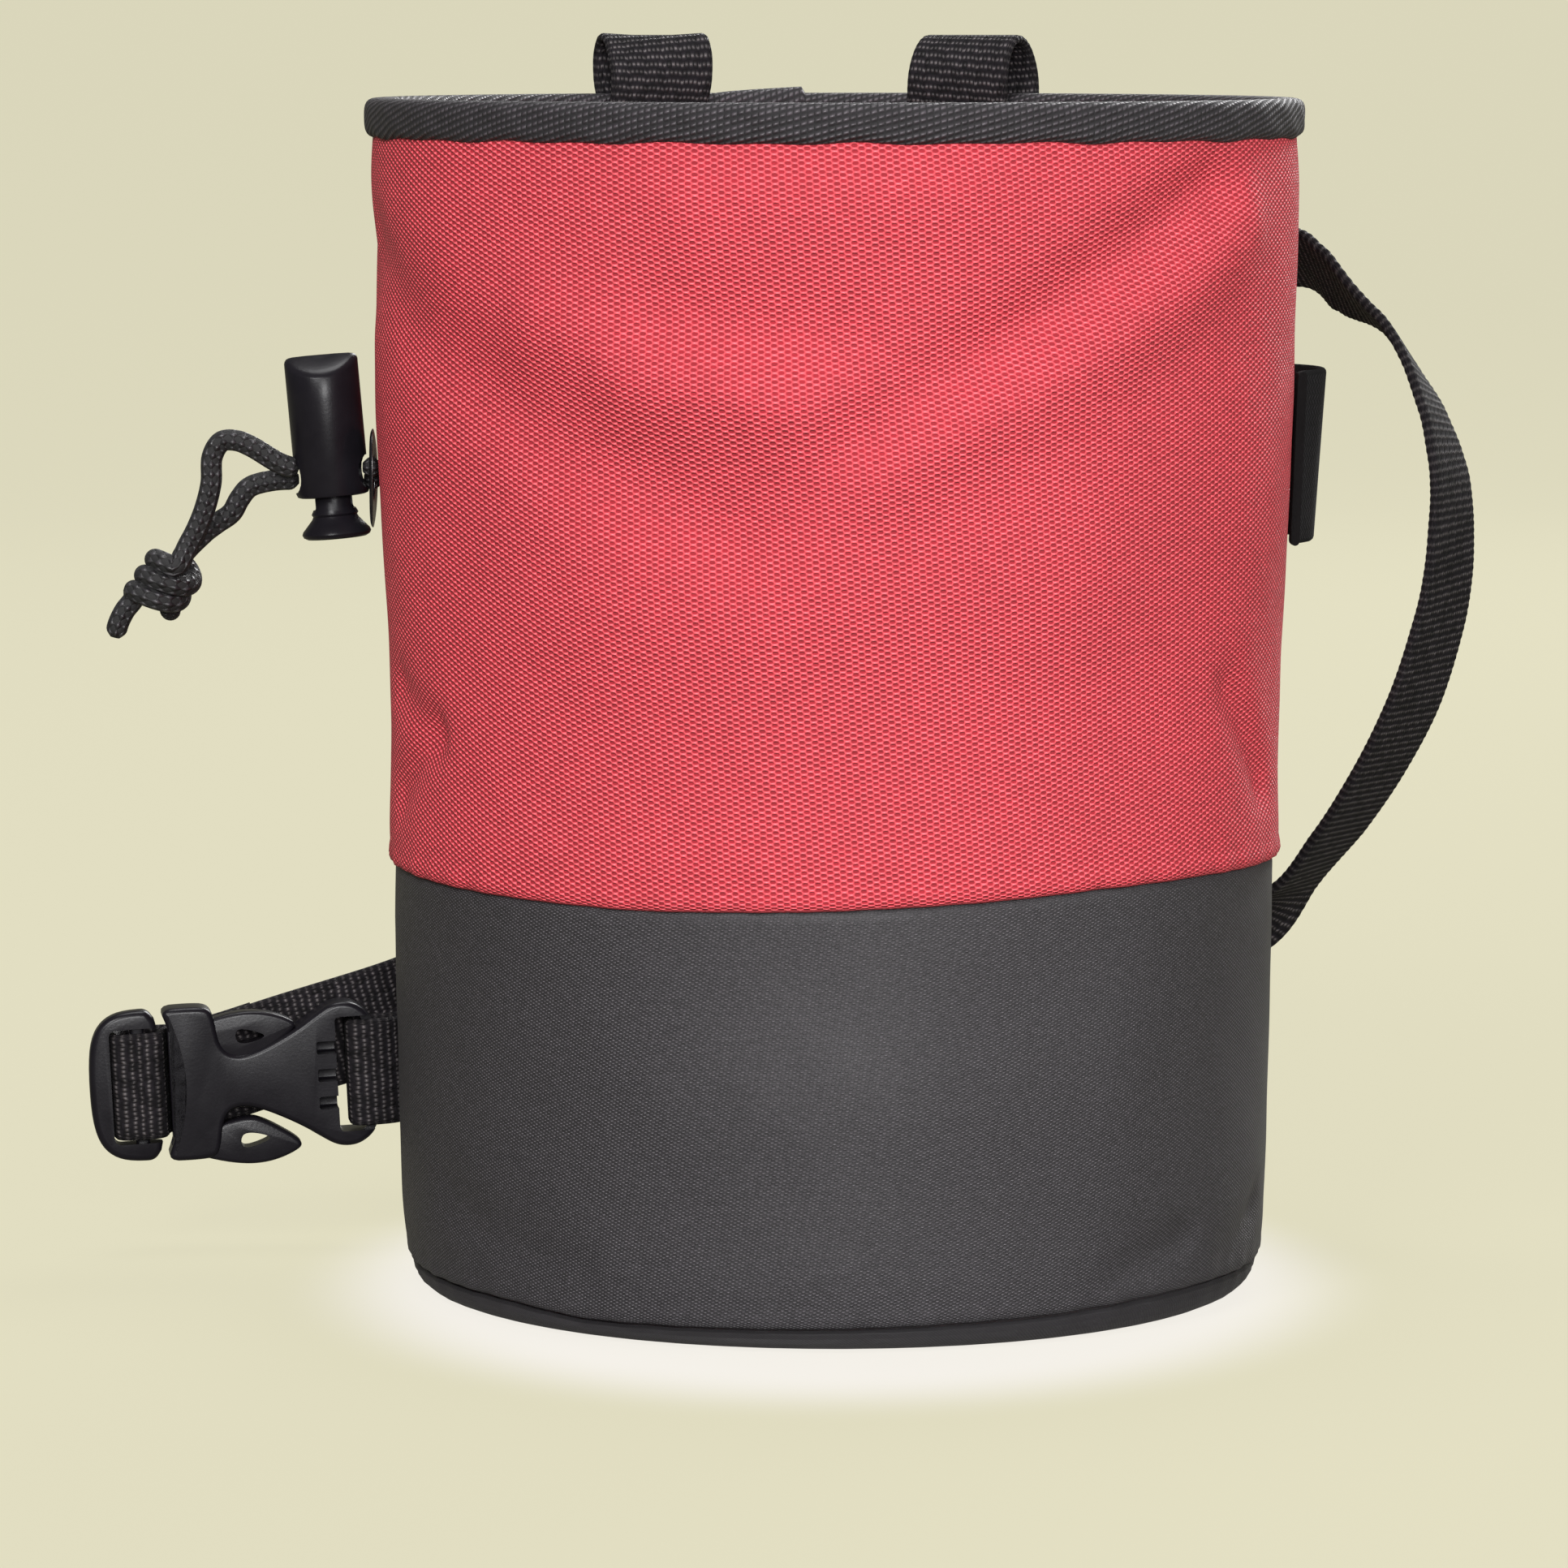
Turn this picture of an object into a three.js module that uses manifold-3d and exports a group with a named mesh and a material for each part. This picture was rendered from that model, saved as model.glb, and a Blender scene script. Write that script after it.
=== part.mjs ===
// A climbing chalk bag: a round soft bag with a bound rim, a drawcord with its lock, loops and a waist belt.
// Millimetres, +Z up. The origin is the middle of the base, on the floor, and the front faces -Y.
import * as THREE from "three";
import { mergeVertices } from "three/addons/utils/BufferGeometryUtils.js";
import Module from "manifold-3d";

const wasm = await Module();
wasm.setup();

// Bag: outer radius and height of the cloth wall, and where its seams lie.
const BODY_R = 62.5;
const BODY_H = 158;
const WALL = 2;
const COLOUR_SEAM_Z = 58;
const BASE_SEAM_Z = 3.4;
const FLOOR_R = 53;
const AROUND = 60;

// The gap that touching pieces keep.
const GAP = 0.3;

// Rim binding: width and height of its section, and how far the wall stands in its fold.
const BINDING_WIDE = 4.6;
const BINDING_TALL = 5.3;
const BINDING_GRIP = 2.1;

// Webbing: width and thickness of the belt and of the loops.
const BELT_WIDE = 15;
const BELT_THICK = 1.3;
const LOOP_WIDE = 15;
const LOOP_THICK = 1.2;

// Carry loops: rise above the rim, clear width inside, and how far the sewn ends reach under the binding.
const LOOP_RISE = 8;
const LOOP_CLEAR = 6.8;
const LOOP_TAIL = 5;

// Belt keeper at the back: height of its middle as a share of BODY_H, and its clear length between its sewn ends.
const KEEPER_UP = 0.8956;
const KEEPER_CLEAR = 19;
const KEEPER_TAB = 3.4;

// Brush loop on the right side: height of its middle, width, thickness and how far it stands out.
const BRUSH_Z = 112.5;
const BRUSH_WIDE = 23.6;
const BRUSH_THICK = 1.2;
const BRUSH_OUT = 6.2;
const BRUSH_TURN = 104;
const BRUSH_SPREAD = 15;
const BRUSH_FLARE = 0.04;

// Eyelet on the left side: outer size, hole and how far its flange stands out.
const EYELET_Z = 109.8;
const EYELET_TALL = 13.4;
const EYELET_LONG = 11.6;
const EYELET_HOLE = 6;
const EYELET_PROUD = 0.5;

// Cord lock: barrel, bore, cord hole, plunger and its press.
const LOCK_R = 5;
const LOCK_TALL = 18.6;
const LOCK_LEAN = 5;
const LOCK_STANDOFF = 1.15;
const LOCK_BEHIND = 2.6;
const LOCK_ABOVE_EYELET = 6.7;
const LOCK_TOP_SLANT = 2.4;
const STEM_R = 2.9;
const STEM_CLEAR = 0.35;
const BORE_DEEP = 13.5;
const DISC_R = 4.7;
const DISC_TALL = 2.6;
const PRESS_TRAVEL = 2.8;
const CORD_HOLE_TALL = 5.2;
const CORD_HOLE_WIDE = 6.4;
const CORD_HOLE_UP = 3.6;

// Drawcord.
const CORD_D = 2.75;

// Buckle: overall length and width, thickness of each half, wall and running clearance.
const BUCKLE_LONG = 40;
const BUCKLE_WIDE = 21.6;
const BUCKLE_THICK = 6;
const PRONG_THICK = 2.8;
const FRAME_THICK = 3.6;
const BUCKLE_FIT = 0.35;
const STRAP_BAR = 1.9;
const FEMALE_BAR_THICK = 3;
const MALE_BAR_THICK = 1.6;
const LADDER_LONG = 2.6;
const LADDER_HALF = 5;
const BUCKLE_TURN = -106.2;
const BUCKLE_CLEAR = 28.3;
const BUCKLE_Z = 24;
const BUCKLE_YAW = 8;
const BUCKLE_ROLL = 2.8;

const rad = THREE.MathUtils.degToRad;
const root = new THREE.Group();

// Finishes: colour, roughness and metalness of each material.
const FINISHES = {
  red_weave: [0xd4485a, 0.88, 0],
  charcoal_coated: [0x46444a, 0.6, 0],
  black_tape: [0x26242a, 0.8, 0],
  black_webbing: [0x222226, 0.78, 0],
  black_elastic: [0x1f1e22, 0.92, 0],
  black_plastic: [0x141416, 0.38, 0],
  eyelet_gloss: [0x0e0e10, 0.15, 0.2],
  black_cord: [0x1c1c1f, 0.82, 0],
};

function addMesh(name, geometry, finish, parent = root) {
  const [color, roughness, metalness] = FINISHES[finish];
  const mesh = new THREE.Mesh(geometry, new THREE.MeshStandardMaterial({ color, roughness, metalness }));
  mesh.name = name;
  parent.add(mesh);
  return mesh;
}

// A closed geometry as a solid that can be joined and cut, and back again.
function solidOf(geometry) {
  const bare = geometry.clone();
  bare.deleteAttribute("normal");
  bare.deleteAttribute("uv");
  const merged = mergeVertices(bare, 1e-4);
  return new wasm.Manifold(
    new wasm.Mesh({
      numProp: 3,
      vertProperties: merged.attributes.position.array,
      triVerts: new Uint32Array(merged.index.array),
    }),
  );
}

function geometryOf(solid) {
  const { vertProperties, triVerts } = solid.getMesh();
  const geometry = new THREE.BufferGeometry();
  geometry.setAttribute("position", new THREE.BufferAttribute(vertProperties, 3));
  geometry.setIndex(new THREE.BufferAttribute(triVerts, 1));
  geometry.computeVertexNormals();
  return geometry;
}

const joined = (first, ...more) => geometryOf(more.reduce((all, g) => all.add(solidOf(g)), solidOf(first)));
const cut = (from, ...tools) => geometryOf(tools.reduce((all, g) => all.subtract(solidOf(g)), solidOf(from)));

// Places on the bag are given by their turn from the front (degrees, positive to the right) and their height.
function onRound(turn, radius, z) {
  return new THREE.Vector3(radius * Math.sin(rad(turn)), -radius * Math.cos(rad(turn)), z);
}

function outward(turn) {
  return onRound(turn, 1, 0);
}

// Outline of the wall from the bottom seam to the rim: up is a share of BODY_H and out a share of BODY_R.
const LOWER_OUTLINE = [
  { up: 0.0215, out: 0.922 },
  { up: 0.035, out: 0.933 },
  { up: 0.057, out: 0.941 },
  { up: 0.127, out: 0.947 },
  { up: 0.196, out: 0.949 },
  { up: 0.278, out: 0.952 },
  { up: 0.367, out: 0.954 },
];
const UPPER_OUTLINE = [
  { up: 0.367, out: 0.961 },
  { up: 0.389, out: 0.968 },
  { up: 0.43, out: 0.963 },
  { up: 0.481, out: 0.963 },
  { up: 0.551, out: 0.967 },
  { up: 0.639, out: 0.98 },
  { up: 0.696, out: 0.987 },
  { up: 0.759, out: 0.994 },
  { up: 0.829, out: 0.995 },
  { up: 0.911, out: 1.0 },
  { up: 0.949, out: 1.001 },
  { up: 0.975, out: 0.997 },
  { up: 1.0, out: 0.992 },
];

function outerRadius(outline, z) {
  const up = THREE.MathUtils.clamp(z / BODY_H, outline[0].up, outline.at(-1).up);
  const next = Math.max(1, outline.findIndex((row) => row.up >= up));
  const [low, high] = [outline[next - 1], outline[next]];
  const along = (up - low.up) / (high.up - low.up);
  return BODY_R * THREE.MathUtils.lerp(low.out, high.out, along);
}

const upperRadius = (z) => outerRadius(UPPER_OUTLINE, z);
const lowerRadius = (z) => outerRadius(LOWER_OUTLINE, z);

// Folds and ridges of the wall, each along a line from one place to another: turns are degrees from the
// front, up is a share of BODY_H, wide and push are shares of BODY_R, and a trough has a negative push.
const UPPER_FOLDS = [
  { turn: [52, 4], up: [0.955, 0.757], wide: 0.085, push: -0.028 },
  { turn: [60, 6], up: [0.915, 0.727], wide: 0.09, push: 0.018 },
  { turn: [-80, -12], up: [0.89, 0.675], wide: 0.11, push: -0.019 },
  { turn: [-38, -4], up: [0.84, 0.772], wide: 0.1, push: 0.016 },
  { turn: [-24, 12], up: [0.787, 0.78], wide: 0.09, push: 0.012 },
  { turn: [-20, 0], up: [0.845, 0.832], wide: 0.1, push: -0.014 },
  { turn: [-16, 14], up: [0.94, 0.945], wide: 0.12, push: 0.012 },
  { turn: [-74, -62], up: [0.525, 0.49], wide: 0.055, push: -0.014 },
  { turn: [-62, -74], up: [0.49, 0.435], wide: 0.055, push: -0.013 },
  { turn: [60, 72], up: [0.53, 0.445], wide: 0.055, push: -0.016 },
  { turn: [-92, -88], up: [0.93, 0.86], wide: 0.07, push: -0.008 },
  { turn: [118, 160], up: [0.6, 0.5], wide: 0.12, push: -0.018 },
  { turn: [-155, -120], up: [0.47, 0.62], wide: 0.12, push: -0.016 },
  { turn: [-30, 30], up: [0.6, 0.63], wide: 0.16, push: 0.01 },
];
const LOWER_FOLDS = [
  { turn: [74, 64], up: [0.08, 0.045], wide: 0.05, push: -0.012 },
  { turn: [40, 52], up: [0.05, 0.07], wide: 0.05, push: -0.013 },
  { turn: [-60, -35], up: [0.1, 0.05], wide: 0.07, push: -0.008 },
  { turn: [-20, 35], up: [0.2, 0.22], wide: 0.16, push: 0.008 },
  { turn: [110, 160], up: [0.25, 0.1], wide: 0.12, push: -0.012 },
];
const FOLD_FADE = 0.05;

// How far the folds push the wall out at a turn and height; they die away at the wall's two edges.
function foldPush(folds, turn, z, bottom, top) {
  const fade = Math.min(1, (z - bottom) / (FOLD_FADE * BODY_H), (top - z) / (FOLD_FADE * BODY_H));
  if (fade <= 0) return 0;
  const mmPerDegree = BODY_R * rad(1);
  return folds.reduce((sum, { turn: [t0, t1], up: [u0, u1], wide, push }) => {
    const run = new THREE.Vector2((t1 - t0) * mmPerDegree, (u1 - u0) * BODY_H);
    const near = ((((turn - t0 + 180) % 360) + 360) % 360) - 180;
    const here = new THREE.Vector2(near * mmPerDegree, z - u0 * BODY_H);
    const along = THREE.MathUtils.clamp(here.dot(run) / run.lengthSq(), 0, 1);
    const away = here.sub(run.multiplyScalar(along)).length() / (wide * BODY_R);
    return sum + push * BODY_R * Math.exp(-away * away);
  }, 0) * fade;
}

// A profile of radius and height turned about the bag's axis; the turn starts at the front.
function turned(profile, around = AROUND) {
  const geometry = new THREE.LatheGeometry(profile.map(([r, z]) => new THREE.Vector2(r, z)), around);
  geometry.rotateX(Math.PI / 2);
  return geometry;
}

// The cloth wall between two heights: outer face up, inner face down, pushed in and out by its folds.
function clothWall(radiusAt, pushAt, bottom, top, outerRows, innerRows) {
  const level = (rows, i) => THREE.MathUtils.lerp(bottom, top, i / (rows - 1));
  const outer = Array.from({ length: outerRows }, (_, i) => level(outerRows, i));
  const inner = Array.from({ length: innerRows }, (_, i) => level(innerRows, innerRows - 1 - i));
  const profile = [
    ...outer.map((z) => [radiusAt(z), z]),
    ...inner.map((z) => [radiusAt(z) - WALL, z]),
  ];
  profile.push(profile[0]);
  const geometry = turned(profile);
  const places = geometry.attributes.position;
  for (let i = 0; i < places.count; i++) {
    const [x, y, z] = [places.getX(i), places.getY(i), places.getZ(i)];
    const radius = Math.hypot(x, y);
    const turn = THREE.MathUtils.radToDeg(Math.atan2(x, -y));
    const scale = 1 + pushAt(turn, z) / radius;
    places.setXY(i, x * scale, y * scale);
  }
  return geometry;
}

const rimRadius = upperRadius(BODY_H) - WALL / 2;
const bindingBottom = BODY_H - BINDING_GRIP;
const rimTop = bindingBottom + BINDING_TALL;

function upperBody() {
  const [bottom, top] = [COLOUR_SEAM_Z + GAP / 2, BODY_H];
  return clothWall(upperRadius, (turn, z) => foldPush(UPPER_FOLDS, turn, z, bottom, bindingBottom), bottom, top, 15, 8);
}

function lowerBody() {
  const [bottom, top] = [BASE_SEAM_Z + GAP / 2, COLOUR_SEAM_Z - GAP / 2];
  return clothWall(lowerRadius, (turn, z) => foldPush(LOWER_FOLDS, turn, z, bottom, top), bottom, top, 8, 4);
}

// The floor is flat out to FLOOR_R, and its edge rises in a quarter round to the bottom seam.
function basePanel() {
  const edgeTop = BASE_SEAM_Z - GAP / 2;
  const edgeR = lowerRadius(BASE_SEAM_Z);
  const roundUp = (from, to, shift, angle) => [
    from + (to - from) * Math.sin(angle),
    shift + (edgeTop - shift) * (1 - Math.cos(angle)),
  ];
  const steps = [0, 0.25, 0.5, 0.75, 1].map((share) => (share * Math.PI) / 2);
  const outside = steps.map((angle) => roundUp(FLOOR_R, edgeR, 0, angle));
  const inside = steps.slice(1).map((angle) => roundUp(FLOOR_R - WALL, edgeR - WALL, WALL, angle));
  return turned([[0, 0], ...outside, ...inside.reverse(), [FLOOR_R - WALL, WALL], [0, WALL]]);
}

// The binding's section: a rounded tape fold with a groove underneath that the wall stands in.
function rimBinding() {
  const half = BINDING_WIDE / 2;
  const groove = WALL / 2 + GAP;
  const grooveTop = BODY_H + GAP;
  const middle = bindingBottom + BINDING_TALL / 2;
  const corner = 0.55;
  const rows = [-1.35, -0.75, -0.25, 0.25, 0.75, 1.25, 1.75, 2.25, 2.75, 3.25, 3.75, 4.35];
  const outside = rows.map((row) => {
    const angle = (row * Math.PI) / 3 - Math.PI / 6;
    const [c, s] = [Math.cos(angle), Math.sin(angle)];
    return [
      rimRadius + half * Math.sign(c) * Math.abs(c) ** corner,
      middle + (BINDING_TALL / 2) * Math.sign(s) * Math.abs(s) ** corner,
    ];
  }).filter(([r, z]) => Math.abs(r - rimRadius) > groove + GAP || z > middle);
  const profile = [
    [rimRadius + groove, bindingBottom],
    ...outside,
    [rimRadius - groove, bindingBottom],
    [rimRadius - groove, grooveTop],
    [rimRadius + groove, grooveTop],
  ];
  profile.push(profile[0]);
  return turned(profile);
}

// A flat strap bent along a route. Each row holds a place and the direction of the strap's width there.
function strap(rows, wide, thick, steps) {
  const middle = new THREE.CatmullRomCurve3(rows.map((row) => row.at), false, "centripetal");
  const edge = new THREE.CatmullRomCurve3(rows.map((row) => row.edge), false, "catmullrom", 0.3);
  const geometry = new THREE.BoxGeometry(1, thick, wide, steps, 1, 1);
  const places = geometry.attributes.position;
  const place = new THREE.Vector3();
  for (let i = 0; i < places.count; i++) {
    const share = THREE.MathUtils.clamp(places.getX(i) + 0.5, 0, 1);
    const tangent = middle.getTangent(share);
    const side = edge.getPoint(share);
    side.addScaledVector(tangent, -side.dot(tangent)).normalize();
    const face = new THREE.Vector3().crossVectors(side, tangent);
    place.copy(middle.getPoint(share));
    place.addScaledVector(face, places.getY(i)).addScaledVector(side, places.getZ(i));
    places.setXYZ(i, place.x, place.y, place.z);
  }
  return geometry;
}

// Carry loops: where each sits on the back rim, how far its crown is twisted, and how far its outer end is
// sewn beside its inner end, as a share of LOOP_WIDE.
const CARRY_LOOPS = [
  { name: "carry_loop_left", turn: -154.8, twist: -20, skew: 0.04 },
  { name: "carry_loop_right", turn: 161, twist: -7, skew: 0.3 },
];

// The loop's route from its sewn end inside the bag, over the rim and down to its sewn end outside.
function carryLoop({ turn, twist, skew }) {
  const foot = onRound(turn, rimRadius, 0);
  const across = outward(turn);
  const along = new THREE.Vector3(-across.y, across.x, 0);
  const sag = LOOP_WIDE ** 2 / (8 * rimRadius);
  const tail = WALL / 2 + GAP + LOOP_THICK / 2;
  const shoulder = BINDING_WIDE / 2 + GAP + LOOP_THICK / 2;
  const belly = (LOOP_CLEAR + LOOP_THICK) / 2;
  const crown = rimTop + LOOP_RISE - LOOP_THICK / 2;
  const tailZ = bindingBottom - LOOP_TAIL;
  const half = [
    [tail + GAP, tailZ],
    [tail + 2 * GAP, bindingBottom - 0.5 * LOOP_TAIL],
    [shoulder + GAP, bindingBottom],
    [shoulder + GAP, bindingBottom + 0.6 * BINDING_TALL],
    [belly + 0.5 * GAP, rimTop + 0.3 * LOOP_RISE],
    [0.75 * belly, rimTop + 0.72 * LOOP_RISE],
    [0.25 * belly, crown],
  ];
  const route = [...half.map(([u, z]) => [-u - sag, z]), ...half.reverse()];
  const rows = route.map(([u, z], i) => {
    const rise = Math.max(0, z - rimTop) / LOOP_RISE;
    const aside = skew * LOOP_WIDE * (0.5 - i / (route.length - 1));
    return {
      at: foot.clone()
        .addScaledVector(across, u)
        .addScaledVector(along, aside)
        .setZ(z),
      edge: along.clone().applyAxisAngle(new THREE.Vector3(0, 0, 1), rad(twist * rise)),
    };
  });
  return strap(rows, LOOP_WIDE, LOOP_THICK, 26);
}

// The keeper: a short upright strap over the belt at the middle of the back, sewn at its two ends.
function beltKeeper() {
  const flat = GAP + LOOP_THICK / 2;
  const raised = 5 * GAP + BELT_THICK + LOOP_THICK / 2;
  const half = KEEPER_CLEAR / 2;
  const route = [
    [flat, -half - KEEPER_TAB],
    [flat, -half - 0.3 * KEEPER_TAB],
    [raised, -half + raised],
    [raised, half - raised],
    [flat, half + 0.3 * KEEPER_TAB],
    [flat, half + KEEPER_TAB],
  ];
  const middleZ = KEEPER_UP * BODY_H;
  const rows = route.map(([out, up]) => ({
    at: onRound(180, upperRadius(middleZ + up) + out, middleZ + up),
    edge: new THREE.Vector3(1, 0, 0),
  }));
  return strap(rows, LOOP_WIDE, LOOP_THICK, 16);
}

// The brush loop: a wide elastic band along the wall that stands out in its middle and leaves an upright tunnel.
function brushLoop() {
  const foot = GAP + BRUSH_THICK / 2;
  const shape = [
    [-1, 0],
    [-0.8, 0],
    [-0.5, 0.62],
    [0, 1],
    [0.5, 0.62],
    [0.8, 0],
    [1, 0],
  ];
  const wallR = upperRadius(BRUSH_Z + BRUSH_WIDE / 2);
  const lean = (wallR - upperRadius(BRUSH_Z - BRUSH_WIDE / 2)) / BRUSH_WIDE;
  const rows = shape.map(([side, out]) => {
    const turn = BRUSH_TURN + side * BRUSH_SPREAD;
    const radius = wallR + foot + out * (BRUSH_OUT - foot - BRUSH_THICK / 2) - (lean * BRUSH_WIDE) / 2;
    return {
      at: onRound(turn, radius + GAP, BRUSH_Z),
      edge: outward(turn).multiplyScalar(lean + BRUSH_FLARE * out).setZ(1),
    };
  });
  return strap(rows, BRUSH_WIDE, BRUSH_THICK, 20);
}

// The eyelet: an oval flange on the wall's left side with a rolled edge round its hole.
function cordEyelet() {
  const section = [
    [EYELET_HOLE / 2, 0],
    [EYELET_TALL / 2, 0],
    [EYELET_TALL / 2 - 0.3, 0.55 * EYELET_PROUD],
    [0.62 * EYELET_TALL / 2 + 0.4, EYELET_PROUD],
    [EYELET_HOLE / 2 + 0.5, EYELET_PROUD],
    [EYELET_HOLE / 2, 0.5 * EYELET_PROUD],
  ];
  section.push(section[0]);
  const geometry = turned(section, 24);
  geometry.scale(EYELET_LONG / EYELET_TALL, 1, 1);
  geometry.rotateX(Math.PI / 2);
  geometry.rotateZ(-Math.PI / 2);
  const wallR = upperRadius(EYELET_Z + EYELET_TALL / 2) + 0.5 * GAP;
  const places = geometry.attributes.position;
  for (let i = 0; i < places.count; i++) {
    const hug = wallR - Math.sqrt(wallR ** 2 - places.getY(i) ** 2);
    places.setX(i, places.getX(i) - wallR - GAP + hug);
    places.setZ(i, places.getZ(i) + EYELET_Z);
  }
  return geometry;
}

// The lock hangs beside the eyelet, in a frame of its own that leans over the wall. Its Z axis is the
// plunger's, and its X axis points at the bag.
const eyeletFace = upperRadius(EYELET_Z + EYELET_TALL / 2) + GAP + EYELET_PROUD;
const lock = new THREE.Group();
lock.position.set(-eyeletFace - LOCK_STANDOFF - LOCK_R, LOCK_BEHIND, EYELET_Z + LOCK_ABOVE_EYELET);
lock.rotation.y = -rad(LOCK_LEAN);
root.add(lock);

function lockBarrel() {
  const bottom = -LOCK_TALL / 2;
  const bore = STEM_R + STEM_CLEAR;
  const shell = turned([
    [0, bottom + BORE_DEEP],
    [bore, bottom + BORE_DEEP],
    [bore, bottom],
    [LOCK_R - 0.35, bottom],
    [LOCK_R, bottom + 0.35],
    [LOCK_R, -bottom - 0.5],
    [LOCK_R - 0.5, -bottom],
    [0, -bottom],
  ], 24);
  const hole = new THREE.BoxGeometry(2 * LOCK_R + 2, CORD_HOLE_WIDE, CORD_HOLE_TALL);
  hole.translate(0, 0, bottom + CORD_HOLE_UP);
  const slant = new THREE.BoxGeometry(4 * LOCK_R, 4 * LOCK_R, 2 * LOCK_TOP_SLANT);
  slant.translate(0, 0, LOCK_TOP_SLANT);
  slant.rotateX(Math.atan2(LOCK_TOP_SLANT, 2 * LOCK_R));
  slant.translate(0, -LOCK_R, -bottom - LOCK_TOP_SLANT);
  return cut(shell, hole, slant);
}

// The plunger at rest: its stem fills the bore past the cord hole, and its disc stands clear by the press.
function lockPlunger() {
  const bottom = -LOCK_TALL / 2;
  const discTop = bottom - PRESS_TRAVEL - GAP;
  const stemTop = bottom + BORE_DEEP - PRESS_TRAVEL - GAP;
  const body = turned([
    [0, discTop - DISC_TALL],
    [0.86 * DISC_R, discTop - DISC_TALL],
    [DISC_R, discTop - 0.75 * DISC_TALL],
    [0.8 * DISC_R, discTop - 0.2 * DISC_TALL],
    [STEM_R, discTop],
    [STEM_R, stemTop],
    [0, stemTop],
  ], 24);
  const windowTall = CORD_HOLE_TALL + PRESS_TRAVEL;
  const window = new THREE.BoxGeometry(3 * STEM_R, 1.1 * STEM_R, windowTall);
  window.translate(0, 0, bottom + CORD_HOLE_UP - PRESS_TRAVEL / 2);
  return cut(body, window);
}

// A round cord of eight sides along its route.
function cordTube(route) {
  const sides = 8;
  const corners = Array.from({ length: sides }, (_, i) => {
    const angle = (2 * Math.PI * i) / sides;
    return new THREE.Vector2((CORD_D / 2) * Math.cos(angle), (CORD_D / 2) * Math.sin(angle));
  });
  const extrudePath = new THREE.CatmullRomCurve3(route.map(([x, y, z]) => new THREE.Vector3(x, y, z)));
  return new THREE.ExtrudeGeometry(new THREE.Shape(corners), { steps: 2 * route.length, extrudePath });
}

// Routes of the drawcord's two ends, from inside the barrel's hole to the knot, and of their joined tail.
const UPPER_CORD = [
  [-72.7, 1.05, 110.9],
  [-75.2, 1.05, 111.7],
  [-79.1, 1.1, 114.0],
  [-81.1, 1.1, 114.8],
  [-83.1, 1.1, 114.7],
  [-84.4, 1.1, 112.7],
  [-84.6, 1, 109.1],
  [-85.4, 0.9, 105.8],
  [-86.5, 0.8, 103.0],
  [-88.4, 1.0, 99.1],
];
const LOWER_CORD = [
  [-72.9, 4.1, 109.4],
  [-76.4, 4.1, 109.2],
  [-79.6, 4.1, 108.3],
  [-81.0, 4.1, 106.7],
  [-82.1, 4, 104.8],
  [-84.2, 3.9, 103.3],
  [-85.8, 3.85, 101.9],
  [-88.0, 3.8, 98.9],
];
const KNOT = { at: [-91.3, 2.3, 95.1], radii: [4.4, 4.0, 4.6] };
const TAIL = [
  [-94.6, 2.3, 94.9],
  [-96.1, 2.3, 92.5],
  [-97.3, 2.3, 90.2],
  [-98.0, 2.3, 87.9],
];

function drawcordKnot() {
  const bulk = new THREE.SphereGeometry(1, 12, 8);
  bulk.scale(...KNOT.radii);
  bulk.translate(...KNOT.at);
  return joined(bulk, cordTube(TAIL));
}

// The buckle lies in a frame of its own at the bag's lower left. Its X axis runs from the adjusting end to
// the fixed end, its Y axis is up, and its Z axis points to the front.
const buckle = new THREE.Group();
buckle.position.copy(onRound(BUCKLE_TURN, lowerRadius(BUCKLE_Z) + BUCKLE_CLEAR, BUCKLE_Z));
buckle.rotateZ(rad(BUCKLE_YAW));
buckle.rotateY(-rad(BUCKLE_ROLL));
buckle.rotateX(Math.PI / 2);
root.add(buckle);

const BUCKLE_END = BUCKLE_LONG / 2;
const BUCKLE_HALF = BUCKLE_WIDE / 2;

// The buckle's outlines: x is a share of its half length and y of its half width, upper half only.
const MALE_FRAME = [
  [-0.54, 0.98],
  [-0.74, 0.97],
  [-0.89, 0.86],
  [-0.97, 0.66],
  [-1.0, 0.3],
];
const FEMALE_BODY = [
  [-0.38, 0.12],
  [-0.41, 0.45],
  [-0.46, 0.75],
  [-0.505, 0.97],
  [-0.1, 1.0],
  [0.02, 0.84],
  [0.54, 0.66],
  [0.66, 0.82],
  [0.8, 0.945],
  [0.93, 0.88],
  [1.0, 0.72],
];
const PRONG_WING = [
  [-0.52, 0.74],
  [-0.1, 0.76],
  [0.17, 0.86],
  [0.42, 0.77],
  [0.53, 0.66],
  [0.42, 0.5],
  [0.1, 0.42],
  [-0.52, 0.42],
];

const sized = ([x, y]) => new THREE.Vector2(x * BUCKLE_END, y * BUCKLE_HALF);

// A plate of mirrored outline, centred in its thickness, with its edges broken by a share of it.
function mirroredPlate(outline, thick) {
  const upper = outline.map(sized);
  const lower = upper.map(({ x, y }) => new THREE.Vector2(x, -y)).reverse();
  return plate(new THREE.Shape([...upper, ...lower]), thick, 0.14 * thick);
}

function plate(shape, thick, bevel) {
  const geometry = new THREE.ExtrudeGeometry(shape, {
    depth: thick - 2 * bevel,
    bevelEnabled: bevel > 0,
    bevelThickness: bevel,
    bevelSize: bevel,
    bevelOffset: -bevel,
    bevelSegments: 1,
  });
  geometry.translate(0, 0, bevel - thick / 2);
  return geometry;
}

function block(x0, x1, y0, y1, thick, z = 0) {
  const geometry = new THREE.BoxGeometry(x1 - x0, y1 - y0, thick);
  geometry.translate((x0 + x1) / 2, (y0 + y1) / 2, z);
  return geometry;
}

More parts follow.
